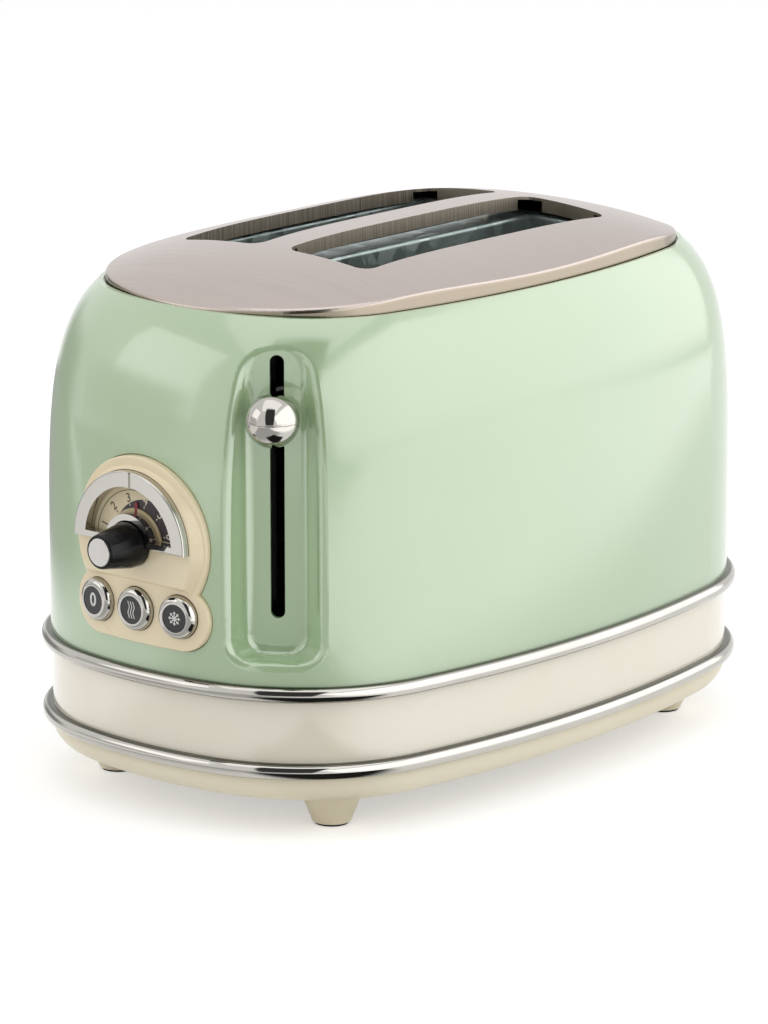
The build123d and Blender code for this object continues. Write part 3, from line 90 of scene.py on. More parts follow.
camera_back = direction_from(CAMERA_AZIMUTH, CAMERA_ELEVATION)
camera_right = Vector((math.cos(CAMERA_AZIMUTH), math.sin(CAMERA_AZIMUTH), 0))
camera_up = camera_back.cross(camera_right)
aim = PLAN_MIDDLE + Vector((0, 0, AIM_HEIGHT)) + camera_right * AIM_RIGHT + camera_up * AIM_UP
camera_data = bpy.data.cameras.new("camera")
camera_data.lens = CAMERA_LENS
camera_data.sensor_width = SENSOR_WIDTH
camera = bpy.data.objects.new("camera", camera_data)
camera.location = aim + camera_back * CAMERA_DISTANCE
camera.rotation_mode = "QUATERNION"
camera.rotation_quaternion = camera_back.to_track_quat("Z", "Y")
bpy.context.collection.objects.link(camera)
bpy.context.scene.camera = camera
bpy.context.scene.view_settings.view_transform = "Standard"
print("camera at", camera.location)

# %% [markdown]
# ## Node helpers
# A shader is built from small steps: a sum, a change of range, one part of a vector.
# Each step is a function here, so that a finish further down reads as a short recipe.
# A step takes either a socket to link or a plain value to set.


# %% Node helpers
def feed(tree, value, socket):
    """Links a socket to another one, or sets it to a plain value."""
    if isinstance(value, bpy.types.NodeSocket):
        tree.links.new(value, socket)
    else:
        socket.default_value = value


def compute(tree, operation, *values):
    """The result of a sum on one or two values."""
    node = tree.nodes.new("ShaderNodeMath")
    node.operation = operation
    for value, socket in zip(values, node.inputs):
        feed(tree, value, socket)
    return node.outputs["Value"]


def axes(tree, vector):
    """The X, Y and Z parts of a vector."""
    node = tree.nodes.new("ShaderNodeSeparateXYZ")
    tree.links.new(vector, node.inputs["Vector"])
    return node.outputs


def remap(tree, value, low, high, to_low, to_high, interpolation="LINEAR"):
    """Moves a value from one range to another, held at the ends."""
    node = tree.nodes.new("ShaderNodeMapRange")
    node.interpolation_type = interpolation
    numbers = {"From Min": low, "From Max": high, "To Min": to_low, "To Max": to_high}
    for label, number in numbers.items():
        feed(tree, number, node.inputs[label])
    tree.links.new(value, node.inputs["Value"])
    return node.outputs["Result"]


# %% [markdown]
# ## The studio
# A white world and three area lamps give the light that falls on the toaster. The world
# is kept low as a light and full white as a background, and the Light Path node tells
# the two apart. The floor does the same with a glow of its own, so it looks white and
# still shows the soft shadow that the lamps cast.


# %% World
WORLD_LEVEL = 0.62


def seen_plainly(tree):
    """1 for what the camera sees, straight or in a mirror, and 0 for light that only falls."""
    path = tree.nodes.new("ShaderNodeLightPath").outputs
    mirrored = compute(tree, "MAXIMUM", path["Is Glossy Ray"], path["Is Transmission Ray"])
    return compute(tree, "MAXIMUM", path["Is Camera Ray"], mirrored)


world = bpy.data.worlds.new("studio")
bpy.context.scene.world = world
world.use_nodes = True
world_tree = world.node_tree
background = world_tree.nodes["Background"]
background.inputs["Color"].default_value = (1, 1, 1, 1)
level = remap(world_tree, seen_plainly(world_tree), 0.0, 1.0, WORLD_LEVEL, 1.0)
world_tree.links.new(level, background.inputs["Strength"])
print("world lights at", WORLD_LEVEL)


# %% Floor
FLOOR_HALF = 6.0
FLOOR_TONE = 0.86
FLOOR_ROUGHNESS = 0.9
FLOOR_GLOW = 0.43


def piece_from(bm, name, material):
    """Turns a bmesh into an object in the scene."""
    mesh = bpy.data.meshes.new(name)
    bm.to_mesh(mesh)
    bm.free()
    mesh.materials.append(material)
    made = bpy.data.objects.new(name, mesh)
    bpy.context.collection.objects.link(made)
    return made


floor_bm = bmesh.new()
bmesh.ops.create_grid(floor_bm, x_segments=1, y_segments=1, size=FLOOR_HALF)
floor_material = bpy.data.materials.new("studio_floor")
floor_material.use_nodes = True
floor_tree = floor_material.node_tree
floor_shader = floor_tree.nodes["Principled BSDF"]
floor_shader.inputs["Base Color"].default_value = (FLOOR_TONE, FLOOR_TONE, FLOOR_TONE, 1)
floor_shader.inputs["Roughness"].default_value = FLOOR_ROUGHNESS
floor_shader.inputs["Specular IOR Level"].default_value = 0.0
floor_shader.inputs["Emission Color"].default_value = (1, 1, 1, 1)
floor_glow = remap(floor_tree, seen_plainly(floor_tree), 0.0, 1.0, 0.0, FLOOR_GLOW)
floor_tree.links.new(floor_glow, floor_shader.inputs["Emission Strength"])
floor = piece_from(floor_bm, "studio_floor", floor_material)
print("floor is", 2 * FLOOR_HALF, "m wide")


# %% Lamps
def soft_lamp(name, azimuth, elevation, distance, width, height, power):
    """An area lamp that faces the toaster from a direction given in degrees."""
    data = bpy.data.lights.new(name, "AREA")
    data.shape = "RECTANGLE"
    data.size = width
    data.size_y = height
    data.energy = power
    lamp = bpy.data.objects.new(name, data)
    away = direction_from(math.radians(azimuth), math.radians(elevation))
    lamp.location = PLAN_MIDDLE + Vector((0, 0, AIM_HEIGHT)) + away * distance
    lamp.rotation_mode = "QUATERNION"
    lamp.rotation_quaternion = away.to_track_quat("Z", "Y")
    bpy.context.collection.objects.link(lamp)


soft_lamp("side_panel", 112, 30, 1.5, 1.5, 1.1, 5.0)
soft_lamp("top_panel", 20, 78, 1.4, 1.5, 1.5, 4.0)
soft_lamp("front_panel", -38, 22, 1.6, 0.9, 1.0, 2.3)
print("lamps:", len(bpy.data.lights))

# %% [markdown]
# ## Cards for the reflections
# Polished metal and glossy enamel show whatever surrounds them, and in an empty studio
# that is plain white. So they get something to mirror: cards of one tone each, with soft
# edges, that only reflections see. They throw no light and no shadow. A dark card draws
# the black line that makes a ring read as round. Where two cards on the floor overlap,
# one lies a millimetre higher, because two faces in one plane would flicker.


# %% Cards
CARD_LIFT = 1 * MM


def soft_edge(tree, along, feather):
    """A mask across a card: 0 at both edges, 1 once that share of the card is crossed."""
    away = compute(tree, "ABSOLUTE", compute(tree, "SUBTRACT", along, 0.5))
    return remap(tree, away, 0.5 - feather, 0.5, 1.0, 0.0, "SMOOTHSTEP")


def card(name, place, width, height, tone, feather):
    """A card of one tone that only reflections see, clear towards its edges."""
    bm = bmesh.new()
    bm.loops.layers.uv.new("across")
    bmesh.ops.create_grid(bm, x_segments=1, y_segments=1, size=0.5, calc_uvs=True)
    bmesh.ops.scale(bm, vec=(width, height, 1), verts=bm.verts)
    bmesh.ops.transform(bm, matrix=place, verts=bm.verts)
    material = bpy.data.materials.new(name)
    material.use_nodes = True
    tree = material.node_tree
    tree.nodes.remove(tree.nodes["Principled BSDF"])
    glow = tree.nodes.new("ShaderNodeEmission")
    glow.inputs["Strength"].default_value = tone
    clear = tree.nodes.new("ShaderNodeBsdfTransparent")
    across = axes(tree, tree.nodes.new("ShaderNodeTexCoord").outputs["UV"])
    masks = [soft_edge(tree, across[axis], share) for axis, share in zip("XY", feather)]
    blend = tree.nodes.new("ShaderNodeMixShader")
    tree.links.new(compute(tree, "MULTIPLY", *masks), blend.inputs["Fac"])
    tree.links.new(clear.outputs[0], blend.inputs[1])
    tree.links.new(glow.outputs[0], blend.inputs[2])
    tree.links.new(blend.outputs[0], tree.nodes["Material Output"].inputs["Surface"])
    material.cycles.emission_sampling = "NONE"
    made = piece_from(bm, name, material)
    made.visible_camera = False
    made.visible_diffuse = False
    made.visible_shadow = False


def facing(azimuth, elevation, distance):
    """The place of a card that faces the toaster from a direction given in degrees."""
    away = direction_from(math.radians(azimuth), math.radians(elevation))
    turn = away.to_track_quat("Z", "Y").to_matrix().to_4x4()
    return Matrix.Translation(PLAN_MIDDLE + Vector((0, 0, AIM_HEIGHT)) + away * distance) @ turn


def on_floor(x_range, y_range, layer):
    """The place and the size of a card that lies just over the floor between those bounds."""
    middle = Vector((sum(x_range) / 2, sum(y_range) / 2, layer * CARD_LIFT))
    return Matrix.Translation(middle), x_range[1] - x_range[0], y_range[1] - y_range[0]


card("bright_side", facing(113, 24, 1.3), 4.6, 1.7, 2.1, (0.14, 0.2))
card("dark_room", facing(29, 30, 1.3), 0.88, 1.9, 0.06, (0.08, 0.12))
card("dark_left", facing(-92, 0, 1.2), 1.1, 0.8, 0.35, (0.35, 0.35))
card("grey_left", facing(-42, 6, 1.3), 1.2, 0.5, 0.72, (0.3, 0.3))
card("bright_floor", *on_floor((0.24, 2.0), (-0.6, 1.7), 2), 1.95, (0.07, 0.14))
card("dark_floor_front", *on_floor((-0.15, 0.32), (-1.2, -0.12), 3), 0.6, (0.15, 0.1))
card("dark_floor_near", *on_floor((0.05, 0.19), (-0.25, -0.08), 4), 0.02, (0.15, 0.15))
card("dark_floor_left", *on_floor((-1.3, -0.28), (-0.36, 0.5), 3), 0.4, (0.15, 0.15))
card("grey_floor_far", *on_floor((-1.4, -0.40), (-1.4, -0.34), 2), 0.62, (0.15, 0.1))
print("cards ready")

# %% [markdown]
# ## Shared effects
# Three small node groups do the work that several finishes share: brushing, a moulded
# skin, and the slow drift of tone that keeps a large painted face from looking flat.
# Each reads Object coordinates, so the pattern keeps its scale in millimetres and stays
# put when a piece moves.


# %% Group helpers
def new_group(name, inputs, outputs):
    """A shader node group with named sockets, and its input and output nodes."""
    group = bpy.data.node_groups.new(name, "ShaderNodeTree")
    for label, kind, value in inputs:
        made = group.interface.new_socket(name=label, in_out="INPUT", socket_type=kind)
        if value is not None:
            made.default_value = value
    for label, kind in outputs:
        group.interface.new_socket(name=label, in_out="OUTPUT", socket_type=kind)
    return group, group.nodes.new("NodeGroupInput"), group.nodes.new("NodeGroupOutput")


def noise(tree, vector, scale, detail=3.0):
    """A noise texture on a vector."""
    node = tree.nodes.new("ShaderNodeTexNoise")
    node.inputs["Scale"].default_value = scale
    node.inputs["Detail"].default_value = detail
    tree.links.new(vector, node.inputs["Vector"])
    return node


def stretched(tree, vector, scale):
    """The vector scaled on each axis, to draw a pattern out along one of them."""
    node = tree.nodes.new("ShaderNodeMapping")
    node.inputs["Scale"].default_value = scale
    tree.links.new(vector, node.inputs["Vector"])
    return node.outputs["Vector"]


def mix_colour(tree, factor, first, second):
    """A mix of two colours, each a socket or a plain colour."""
    node = tree.nodes.new("ShaderNodeMix")
    node.data_type = "RGBA"
    tree.links.new(factor, node.inputs[0])
    for socket, colour in ((node.inputs[6], first), (node.inputs[7], second)):
        feed(tree, (*colour, 1) if isinstance(colour, tuple) else colour, socket)
    return node.outputs[2]


# %% Brushed metal group
COLOUR = "NodeSocketColor"
FLOAT = "NodeSocketFloat"
VECTOR = "NodeSocketVector"

brushed_group, brushed_in, brushed_out = new_group(
    "brushed_strokes",
    [
        ("Vector", VECTOR, None),
        ("Light", COLOUR, (0.6, 0.6, 0.6, 1)),
        ("Dark", COLOUR, (0.4, 0.4, 0.4, 1)),
        ("Smooth", FLOAT, 0.25),
        ("Rough", FLOAT, 0.4),
    ],
    [("Colour", COLOUR), ("Roughness", FLOAT), ("Height", FLOAT)],
)
STROKE_SCALE = (14, 2600, 14)
long_strokes = stretched(brushed_group, brushed_in.outputs["Vector"], STROKE_SCALE)
stroke_noise = noise(brushed_group, long_strokes, 1.0, 4.0)
stroke = remap(brushed_group, stroke_noise.outputs["Fac"], 0.32, 0.68, 0.0, 1.0)
stroke_colour = mix_colour(
    brushed_group, stroke, brushed_in.outputs["Dark"], brushed_in.outputs["Light"]
)
stroke_rough = remap(
    brushed_group, stroke, 0.0, 1.0, brushed_in.outputs["Rough"], brushed_in.outputs["Smooth"]
)
brushed_group.links.new(stroke_colour, brushed_out.inputs["Colour"])
brushed_group.links.new(stroke_rough, brushed_out.inputs["Roughness"])
brushed_group.links.new(stroke, brushed_out.inputs["Height"])
print("group", brushed_group.name, "stretched by", STROKE_SCALE)

# %% Moulded skin group
skin_group, skin_in, skin_out = new_group(
    "moulded_skin",
    [
        ("Vector", VECTOR, None),
        ("Smooth", FLOAT, 0.25),
        ("Rough", FLOAT, 0.4),
    ],
    [("Roughness", FLOAT), ("Height", FLOAT)],
)
skin_fine = noise(skin_group, skin_in.outputs["Vector"], 900, 2.0)
skin_patch = noise(skin_group, skin_in.outputs["Vector"], 28, 3.0)
skin_limits = (skin_in.outputs["Smooth"], skin_in.outputs["Rough"])
skin_rough = remap(skin_group, skin_patch.outputs["Fac"], 0.35, 0.65, *skin_limits)
skin_group.links.new(skin_rough, skin_out.inputs["Roughness"])
skin_group.links.new(skin_fine.outputs["Fac"], skin_out.inputs["Height"])
print("group", skin_group.name)

# %% Tone drift group
drift_group, drift_in, drift_out = new_group(
    "tone_drift",
    [
        ("Vector", VECTOR, None),
        ("Scale", FLOAT, 12.0),
        ("First", COLOUR, (0.5, 0.5, 0.5, 1)),
        ("Second", COLOUR, (0.6, 0.6, 0.6, 1)),
    ],
    [("Colour", COLOUR)],
)
drift_noise = noise(drift_group, drift_in.outputs["Vector"], 12.0, 2.0)
drift_group.links.new(drift_in.outputs["Scale"], drift_noise.inputs["Scale"])
drift_mask = remap(drift_group, drift_noise.outputs["Fac"], 0.35, 0.65, 0.0, 1.0)
drift_colour = mix_colour(
    drift_group, drift_mask, drift_in.outputs["First"], drift_in.outputs["Second"]
)
drift_group.links.new(drift_colour, drift_out.inputs["Colour"])
print("group", drift_group.name)

# %% [markdown]
# ## Finishes
# A finish starts as a Principled shader with Object coordinates. Numbers that are the
# same all over a surface go straight on the shader, and only what changes over the
# surface comes through nodes. Colours are written as a painter's hex code and turned
# into the linear values that the shader works in.


# %% Material helpers
def linear(code):
    """Linear red, green and blue of a hex colour."""
    values = [int(code[start : start + 2], 16) / 255 for start in (0, 2, 4)]
    return tuple(v / 12.92 if v <= 0.04045 else ((v + 0.055) / 1.055) ** 2.4 for v in values)


def finish(name, **plain):
    """A material, its tree, its shader and its Object coordinates."""
    material = bpy.data.materials.new(name)
    material.use_nodes = True
    tree = material.node_tree
    shader = tree.nodes["Principled BSDF"]
    for label, value in plain.items():
        shader.inputs[label.replace("_", " ")].default_value = value
    place = tree.nodes.new("ShaderNodeTexCoord").outputs["Object"]
    return material, tree, shader, place


def use_group(tree, group, vector, **values):
    """Places a group in a material, on a vector, with its own values."""
    node = tree.nodes.new("ShaderNodeGroup")
    node.node_tree = group
    tree.links.new(vector, node.inputs["Vector"])
    for label, value in values.items():
        is_colour = isinstance(value, tuple)
        node.inputs[label].default_value = (*value, 1) if is_colour else value
    return node


def two_tones(tree, place, scale, first, second):
    """A slow drift between two colours, given in hex."""
    values = {"Scale": scale, "First": linear(first), "Second": linear(second)}
    return use_group(tree, drift_group, place, **values).outputs["Colour"]


def bump(tree, height, shader, distance):
    """Feeds a height into a shader's normal, with its depth in metres."""
    node = tree.nodes.new("ShaderNodeBump")
    node.inputs["Distance"].default_value = distance
    node.inputs["Strength"].default_value = 1.0
    tree.links.new(height, node.inputs["Height"])
    tree.links.new(node.outputs["Normal"], shader.inputs["Normal"])


# %% [markdown]
# ## Enamel on the body
# The body is sheet metal painted in a pastel green, with a soft pearl under a clear
# lacquer. One shader holds both layers. Its base is the paint, rather rough but with a
# strong reflection of its own, which gives the pearl its broad glow. Its coat is the
# lacquer, which mirrors the room more sharply on top. The colour drifts a little, because
# a large face in one exact tone looks like a drawing.

# %% Enamel
SKIN_DEPTH = 0.004 * MM


def pearl_enamel():
    """Pastel green paint with a soft pearl under a clear coat."""
    material, tree, shader, place = finish(
        "pearl_enamel", Specular_IOR_Level=1.0, Coat_Weight=1.0, Coat_IOR=2.0, Coat_Roughness=0.1
    )
    skin = use_group(tree, skin_group, place, Smooth=0.30, Rough=0.36)
    colour = two_tones(tree, place, 9.0, "A2BE92", "A8C397")
    tree.links.new(colour, shader.inputs["Base Color"])
    tree.links.new(skin.outputs["Roughness"], shader.inputs["Roughness"])
    bump(tree, skin.outputs["Height"], shader, SKIN_DEPTH)
    return material


# %% [markdown]
# ## Brushed top plate
# The plate's face is satin steel. Where it turns down into the bread slots it shows
# coarser upright strokes. Its outer edge has a plain darker tone, a painted shade and
# dark reflection where the rim meets the paint. Cutting the mesh into three would
# be one way. Here one material tells wall from face by the direction of the surface, and
# the slots from the outer edge by how far they are from the middle, so the mesh stays
# whole.

# %% Top plate
WALL_NORMAL = 0.25
FACE_NORMAL = 0.60
SLOT_REACH = (62 * MM, 82 * MM)
SLOT_BLEND = 2 * MM
STROKE_DEPTH = 0.0012 * MM
RIM_SHADE_TONE = "958B7C"
RIM_ROUGHNESS = 0.2


def strokes(tree, place, light, dark, smooth, rough):
    """Brushed strokes between two colours and two roughnesses."""
    values = {"Light": linear(light), "Dark": linear(dark), "Smooth": smooth, "Rough": rough}
    return use_group(tree, brushed_group, place, **values)


def satin_plate(name):
    """Steel with a satin face, coarse upright strokes down its walls and slot lips, and a painted
    shade on its outer rim.
    """
    material, tree, shader, place = finish(name, Metallic=1.0)
    face = strokes(tree, place, "C1B6B0", "B8ADA8", 0.22, 0.28)
    wall = strokes(tree, place, "D0C6B6", "6E665A", 0.30, 0.46)
    normal = axes(tree, tree.nodes.new("ShaderNodeNewGeometry").outputs["Normal"])
    level_part = compute(tree, "ABSOLUTE", normal["Z"])
    upright = remap(tree, level_part, WALL_NORMAL, FACE_NORMAL, 1.0, 0.0)
    offset = tree.nodes.new("ShaderNodeVectorMath")
    offset.operation = "SUBTRACT"
    tree.links.new(place, offset.inputs[0])
    offset.inputs[1].default_value = PLAN_MIDDLE
    from_middle = tree.nodes.new("ShaderNodeVectorMath")
    from_middle.operation = "ABSOLUTE"
    tree.links.new(offset.outputs["Vector"], from_middle.inputs[0])
    away = axes(tree, from_middle.outputs["Vector"])
    in_slots = 1.0
    for axis, reach in zip("XY", SLOT_REACH):
        in_slots = remap(tree, away[axis], reach, reach + SLOT_BLEND, in_slots, 0.0)
    # Painted shade: outside the slots the upright rim takes a darker plain tone, for the shade
    # and dark reflection along the rolled edge.
    side_with_rim_shade = mix_colour(tree, in_slots, linear(RIM_SHADE_TONE), wall.outputs["Colour"])
    colour = mix_colour(tree, upright, face.outputs["Colour"], side_with_rim_shade)
    rim_rough = remap(tree, in_slots, 0.0, 1.0, RIM_ROUGHNESS, wall.outputs["Roughness"])
    rough = remap(tree, upright, 0.0, 1.0, face.outputs["Roughness"], rim_rough)
    tree.links.new(colour, shader.inputs["Base Color"])
    tree.links.new(rough, shader.inputs["Roughness"])
    bump(tree, wall.outputs["Height"], shader, STROKE_DEPTH)
    return material


# %% [markdown]
# ## Chrome and bright steel
# Chrome is almost a mirror, so its finish is little more than a tone and a faint haze,
# and what makes it look like chrome is the cards around it. The trim rings also get a
# painted shade: a dark line along their upper and lower edges, where they meet their
# neighbours in a seam that falls in shade.

# %% Chrome
SEAM_SHADE_DEPTH = 0.5 * MM
SEAM_SHADE_TONE = "4A4A3E"
CHROME = ("B9B6B0", "C2BFB9", 0.03, 0.07)


def bright_plate(name, first, second, smooth, rough, seam_shade=None):
    """Polished plating with a faint haze, and a painted shade in the seams at its low and high
    edge.
    """
    material, tree, shader, place = finish(name, Metallic=1.0)
    skin = use_group(tree, skin_group, place, Smooth=smooth, Rough=rough)
    colour = two_tones(tree, place, 20.0, first, second)
    # Painted shade and dark reflection: near its low and high edge the ring is darkened towards
    # the seam tone.
    if seam_shade is not None:
        height = axes(tree, place)["Z"]
        above = remap(tree, height, seam_shade[1] - SEAM_SHADE_DEPTH, seam_shade[1] - SEAM_SHADE_DEPTH / 3, 0.0, 1.0)
        below = remap(tree, height, seam_shade[0] + SEAM_SHADE_DEPTH / 3, seam_shade[0] + SEAM_SHADE_DEPTH, 1.0, 0.0)
        in_seam_shade = compute(tree, "MAXIMUM", above, below)
        colour = mix_colour(tree, in_seam_shade, colour, linear(SEAM_SHADE_TONE))
    tree.links.new(colour, shader.inputs["Base Color"])
    tree.links.new(skin.outputs["Roughness"], shader.inputs["Roughness"])
    return material


# %% [markdown]
# ## Mouldings, rubber and card
# Cream panel, black knob, rubber pads, printed dial: these differ in colour and gloss,
# but they share a recipe. It has two close tones, a fine grain left by the mould and a
# gloss that changes in patches, so one function makes them all. The cream base band is
# painted, and uses it with a coat for the paint's shine.


# %% Mouldings
def moulding(name, first, second, smooth, rough, depth=SKIN_DEPTH, **plain):
    """A moulded plastic, rubber or card: two close tones and a fine skin."""
    material, tree, shader, place = finish(name, **plain)
    skin = use_group(tree, skin_group, place, Smooth=smooth, Rough=rough)
    colour = two_tones(tree, place, 16.0, first, second)
    tree.links.new(colour, shader.inputs["Base Color"])
    tree.links.new(skin.outputs["Roughness"], shader.inputs["Roughness"])
    bump(tree, skin.outputs["Height"], shader, depth)
    return material


# %% [markdown]
# ## Galvanised sheet
# The sheets inside and the crumb tray are coated with zinc, which sets in crystals a few
# millimetres across. A Voronoi texture draws such cells. The random colour that it gives
# each cell sets both tone and gloss, so neighbours differ as the real crystals do.

# %% Galvanised sheet
SPANGLE_SCALE = 160


def galvanised(name, light, dark):
    """Zinc coated sheet: crystals a few millimetres across that differ in tone."""
    material, tree, shader, place = finish(name, Metallic=0.85)
    cells = tree.nodes.new("ShaderNodeTexVoronoi")
    cells.inputs["Scale"].default_value = SPANGLE_SCALE
    tree.links.new(place, cells.inputs["Vector"])
    tone = tree.nodes.new("ShaderNodeSeparateColor")
    tree.links.new(cells.outputs["Color"], tone.inputs["Color"])
    colour = mix_colour(tree, tone.outputs["Red"], linear(dark), linear(light))
    rough = remap(tree, tone.outputs["Green"], 0.0, 1.0, 0.30, 0.52)
    tree.links.new(colour, shader.inputs["Base Color"])
    tree.links.new(rough, shader.inputs["Roughness"])
    return material


# %% [markdown]
# ## Painted pointer
# The pointer is a tan disc with a dark tongue, and a red line runs out along it. The
# three paints meet on one flat piece, so their places tell them apart and no edge is cut
# into the mesh. Object coordinates move with the piece, so the paint turns with the knob.

# %% Pointer
POINTER_START = 11.0 * MM
POINTER_RING = 13.2 * MM
POINTER_HALF = 0.75 * MM
PAINT_BLUR = 0.08 * MM


def pointer_paint(name, ring, ring_shade, behind, tip):
    """Tan paint on the disc, and a red line on a dark tongue, told apart by their place."""
    material, tree, shader, place = finish(name, Roughness=0.4)
    split = axes(tree, place)
    beside = compute(tree, "ABSOLUTE", split["X"])
    inner, outer = POINTER_HALF - PAINT_BLUR, POINTER_HALF + PAINT_BLUR
    on_line = remap(tree, beside, inner, outer, 1.0, 0.0)
    line_start = DIAL_AXIS.z + POINTER_START
    tongue_start = DIAL_AXIS.z + POINTER_RING
    above = remap(tree, split["Z"], line_start, line_start + PAINT_BLUR, 0.0, 1.0)
    past = remap(tree, split["Z"], tongue_start, tongue_start + PAINT_BLUR, 0.0, 1.0)
    disc = two_tones(tree, place, 120.0, ring, ring_shade)
    ground = mix_colour(tree, past, disc, linear(behind))
    colour = mix_colour(tree, compute(tree, "MULTIPLY", on_line, above), ground, linear(tip))
    tree.links.new(colour, shader.inputs["Base Color"])
    return material


# %% [markdown]
# ## Which piece wears which finish
# Every piece of the model names a material slot, and each slot has one finish. Some
# pieces share a slot and still need a finish of their own, such as the trim rings with
# their painted seam shade, or the charcoal discs of the buttons, which look different on
# the real toaster. Those have a finish under their own name, which goes before the slot's.

# %% The finishes by slot
finishes = {
    "painted_shell": pearl_enamel(),
    "brushed_top": satin_plate("brushed_top"),
    "cream_plastic": moulding("cream_moulding", "F2E1BD", "F3E4C2", 0.22, 0.30, Coat_Weight=0.2),
    "chrome_trim": bright_plate("chrome_trim", *CHROME),
    "ivory_plastic": moulding("ivory_moulding", "F4E9CD", "F6EDD4", 0.28, 0.38),
    "steel_hardware": bright_plate("bright_wire", "B4B4B4", "C4C4C4", 0.20, 0.32),
    "rubber_black": moulding("black_rubber", "17171A", "1E1E20", 0.65, 0.85, depth=0.02 * MM),
    "black_plastic": moulding(
        "black_moulding", "0C0C0D", "121213", 0.18, 0.28, Specular_IOR_Level=0.22
    ),
    "knob_metal": bright_plate("spun_cap", "B9B5B1", "C6C3BF", 0.24, 0.34),
    "galvanised_sheet": galvanised("galvanised_sheet", "8E9A98", "6C7776"),
    "mica": moulding("mica_card", "8A7350", "9B8462", 0.5, 0.7, depth=0.03 * MM),
    "circuit_board": moulding("board_laminate", "1E4A2A", "245431", 0.35, 0.5),
}
print("finishes by slot:", len(finishes))

# %% Finishes for single nodes
own_finish = {
    "base_band": moulding(
        "band_enamel", "F5ECD7", "F6EFDD", 0.18, 0.26, Coat_Weight=1.0, Coat_IOR=1.9
    ),
    "dial_face": moulding("dial_card", "EADBB6", "EDDFBE", 0.35, 0.45),
    "pointer_disc": pointer_paint("pointer_paint", "C9BA94", "BFAF89", "40383A", "8A2731"),
    "chamber_divider": galvanised("divider_sheet", "A3AFAC", "849290"),
    "crumb_tray": galvanised("tray_sheet", "B2B3B0", "9A9C9A"),
}
# The trim rings get their own chrome with a painted seam shade along their low and high edge.
for name in ("upper_trim_ring", "lower_trim_ring"):
    low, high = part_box(name)
    own_finish[name] = bright_plate(f"{name}_chrome", *CHROME, (low.z, high.z))
for name in ("stop_button_inset", "reheat_button_inset", "defrost_button_inset"):
    own_finish[name] = moulding(f"{name}_charcoal", "2C2A2B", "343233", 0.35, 0.45)
print("finishes for single nodes:", len(own_finish))

# %% Dress every node
slot_of = {row["node"]: row["material_slot"] for row in frame["record"]["subparts"]}
for name, node in frame["nodes"].items():
    material = own_finish.get(name, finishes[slot_of[name]])
    node.data.materials.clear()
    node.data.materials.append(material)
print("dressed", len(frame["nodes"]), "nodes")

# %% [markdown]
# ## Printed marks
# The numbers and symbols are ink, a few hundredths of a millimetre thick. As thin
# meshes they stay sharp from close by, and they move with the piece they are printed
# on. Each is drawn flat, facing up, and then stood on its surface by one matrix.


# %% Print helpers
INK_THICKNESS = 0.06 * MM
INK_SINK = 0.02 * MM
bodies = frame["record"]["behaviour"]["bodies"]
BODY_OF = {name: body for body, names in bodies.items() for name in names}


def ink(name, code):
    """A flat ink with a slight sheen."""
    return finish(name, Roughness=0.5, Base_Color=(*linear(code), 1))[0]


def thicken(bm):
    """Gives flat faces the thickness of a layer of ink, upwards."""
    made = bmesh.ops.extrude_face_region(bm, geom=list(bm.faces))
    moved = [item for item in made["geom"] if isinstance(item, bmesh.types.BMVert)]
    bmesh.ops.translate(bm, vec=(0, 0, INK_THICKNESS), verts=moved)
    bmesh.ops.recalc_face_normals(bm, faces=bm.faces)


def flat_bar(bm, start, end, width):
    """Adds a straight bar between two points of the drawing."""
    start, end = Vector((*start, 0)), Vector((*end, 0))
    along = end - start
    made = bmesh.ops.create_grid(bm, x_segments=1, y_segments=1, size=0.5)["verts"]
    bmesh.ops.scale(bm, vec=(along.length, width, 1), verts=made)
    turn = Matrix.Rotation(math.atan2(along.y, along.x), 3, "Z")
    bmesh.ops.rotate(bm, matrix=turn, verts=made)
    bmesh.ops.translate(bm, vec=(start + end) / 2, verts=made)


def text_drawing(text, size, bold=0.0):
    """A drawing of a character, centred on the origin, with its strokes fattened."""
    curve = bpy.data.curves.new("character", "FONT")
    curve.body = text
    curve.size = size
    curve.offset = bold
    curve.align_x = "CENTER"
    curve.align_y = "CENTER"
    holder = bpy.data.objects.new("character", curve)
    bpy.context.collection.objects.link(holder)
    graph = bpy.context.evaluated_depsgraph_get()
    mesh = bpy.data.meshes.new_from_object(holder.evaluated_get(graph))
    bpy.data.objects.remove(holder)
    bm = bmesh.new()
    bm.from_mesh(mesh)
    bpy.data.meshes.remove(mesh)
    return bm


def print_on(bm, name, stand, node, material):
    """Thickens a drawing, stands it on a surface and makes it ride with a node."""
    thicken(bm)
    bmesh.ops.transform(bm, matrix=stand, verts=bm.verts)
    made = piece_from(bm, name, material)
    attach(made, BODY_OF[node])


# %% [markdown]
# ## The dial's print
# Numbers from 1 to 6 stand on an arc, each with a short tick on its inner side, and a
# thin scale line runs round outside them. A dark crescent covers the right of the card,
# and the marks on it are pale. The crescent and the line are circles set a little off the
# dial's middle, and a plane cuts them at the bottom of the dial's window.

# %% Dial drawing plane
DIAL_PLANE = Matrix.Translation((0, DIAL_FRONT + INK_SINK, DIAL_AXIS.z)) @ Matrix.Rotation(
    math.radians(90), 4, "X"
)
WINDOW_BOTTOM = 2.4 * MM


def keep_above_bar(bm):
    """Cuts a drawing off at the bottom of the dial's window."""
    geom = list(bm.verts) + list(bm.edges) + list(bm.faces)
    bmesh.ops.bisect_plane(
        bm, geom=geom, plane_co=(0, WINDOW_BOTTOM, 0), plane_no=(0, -1, 0), clear_outer=True
    )


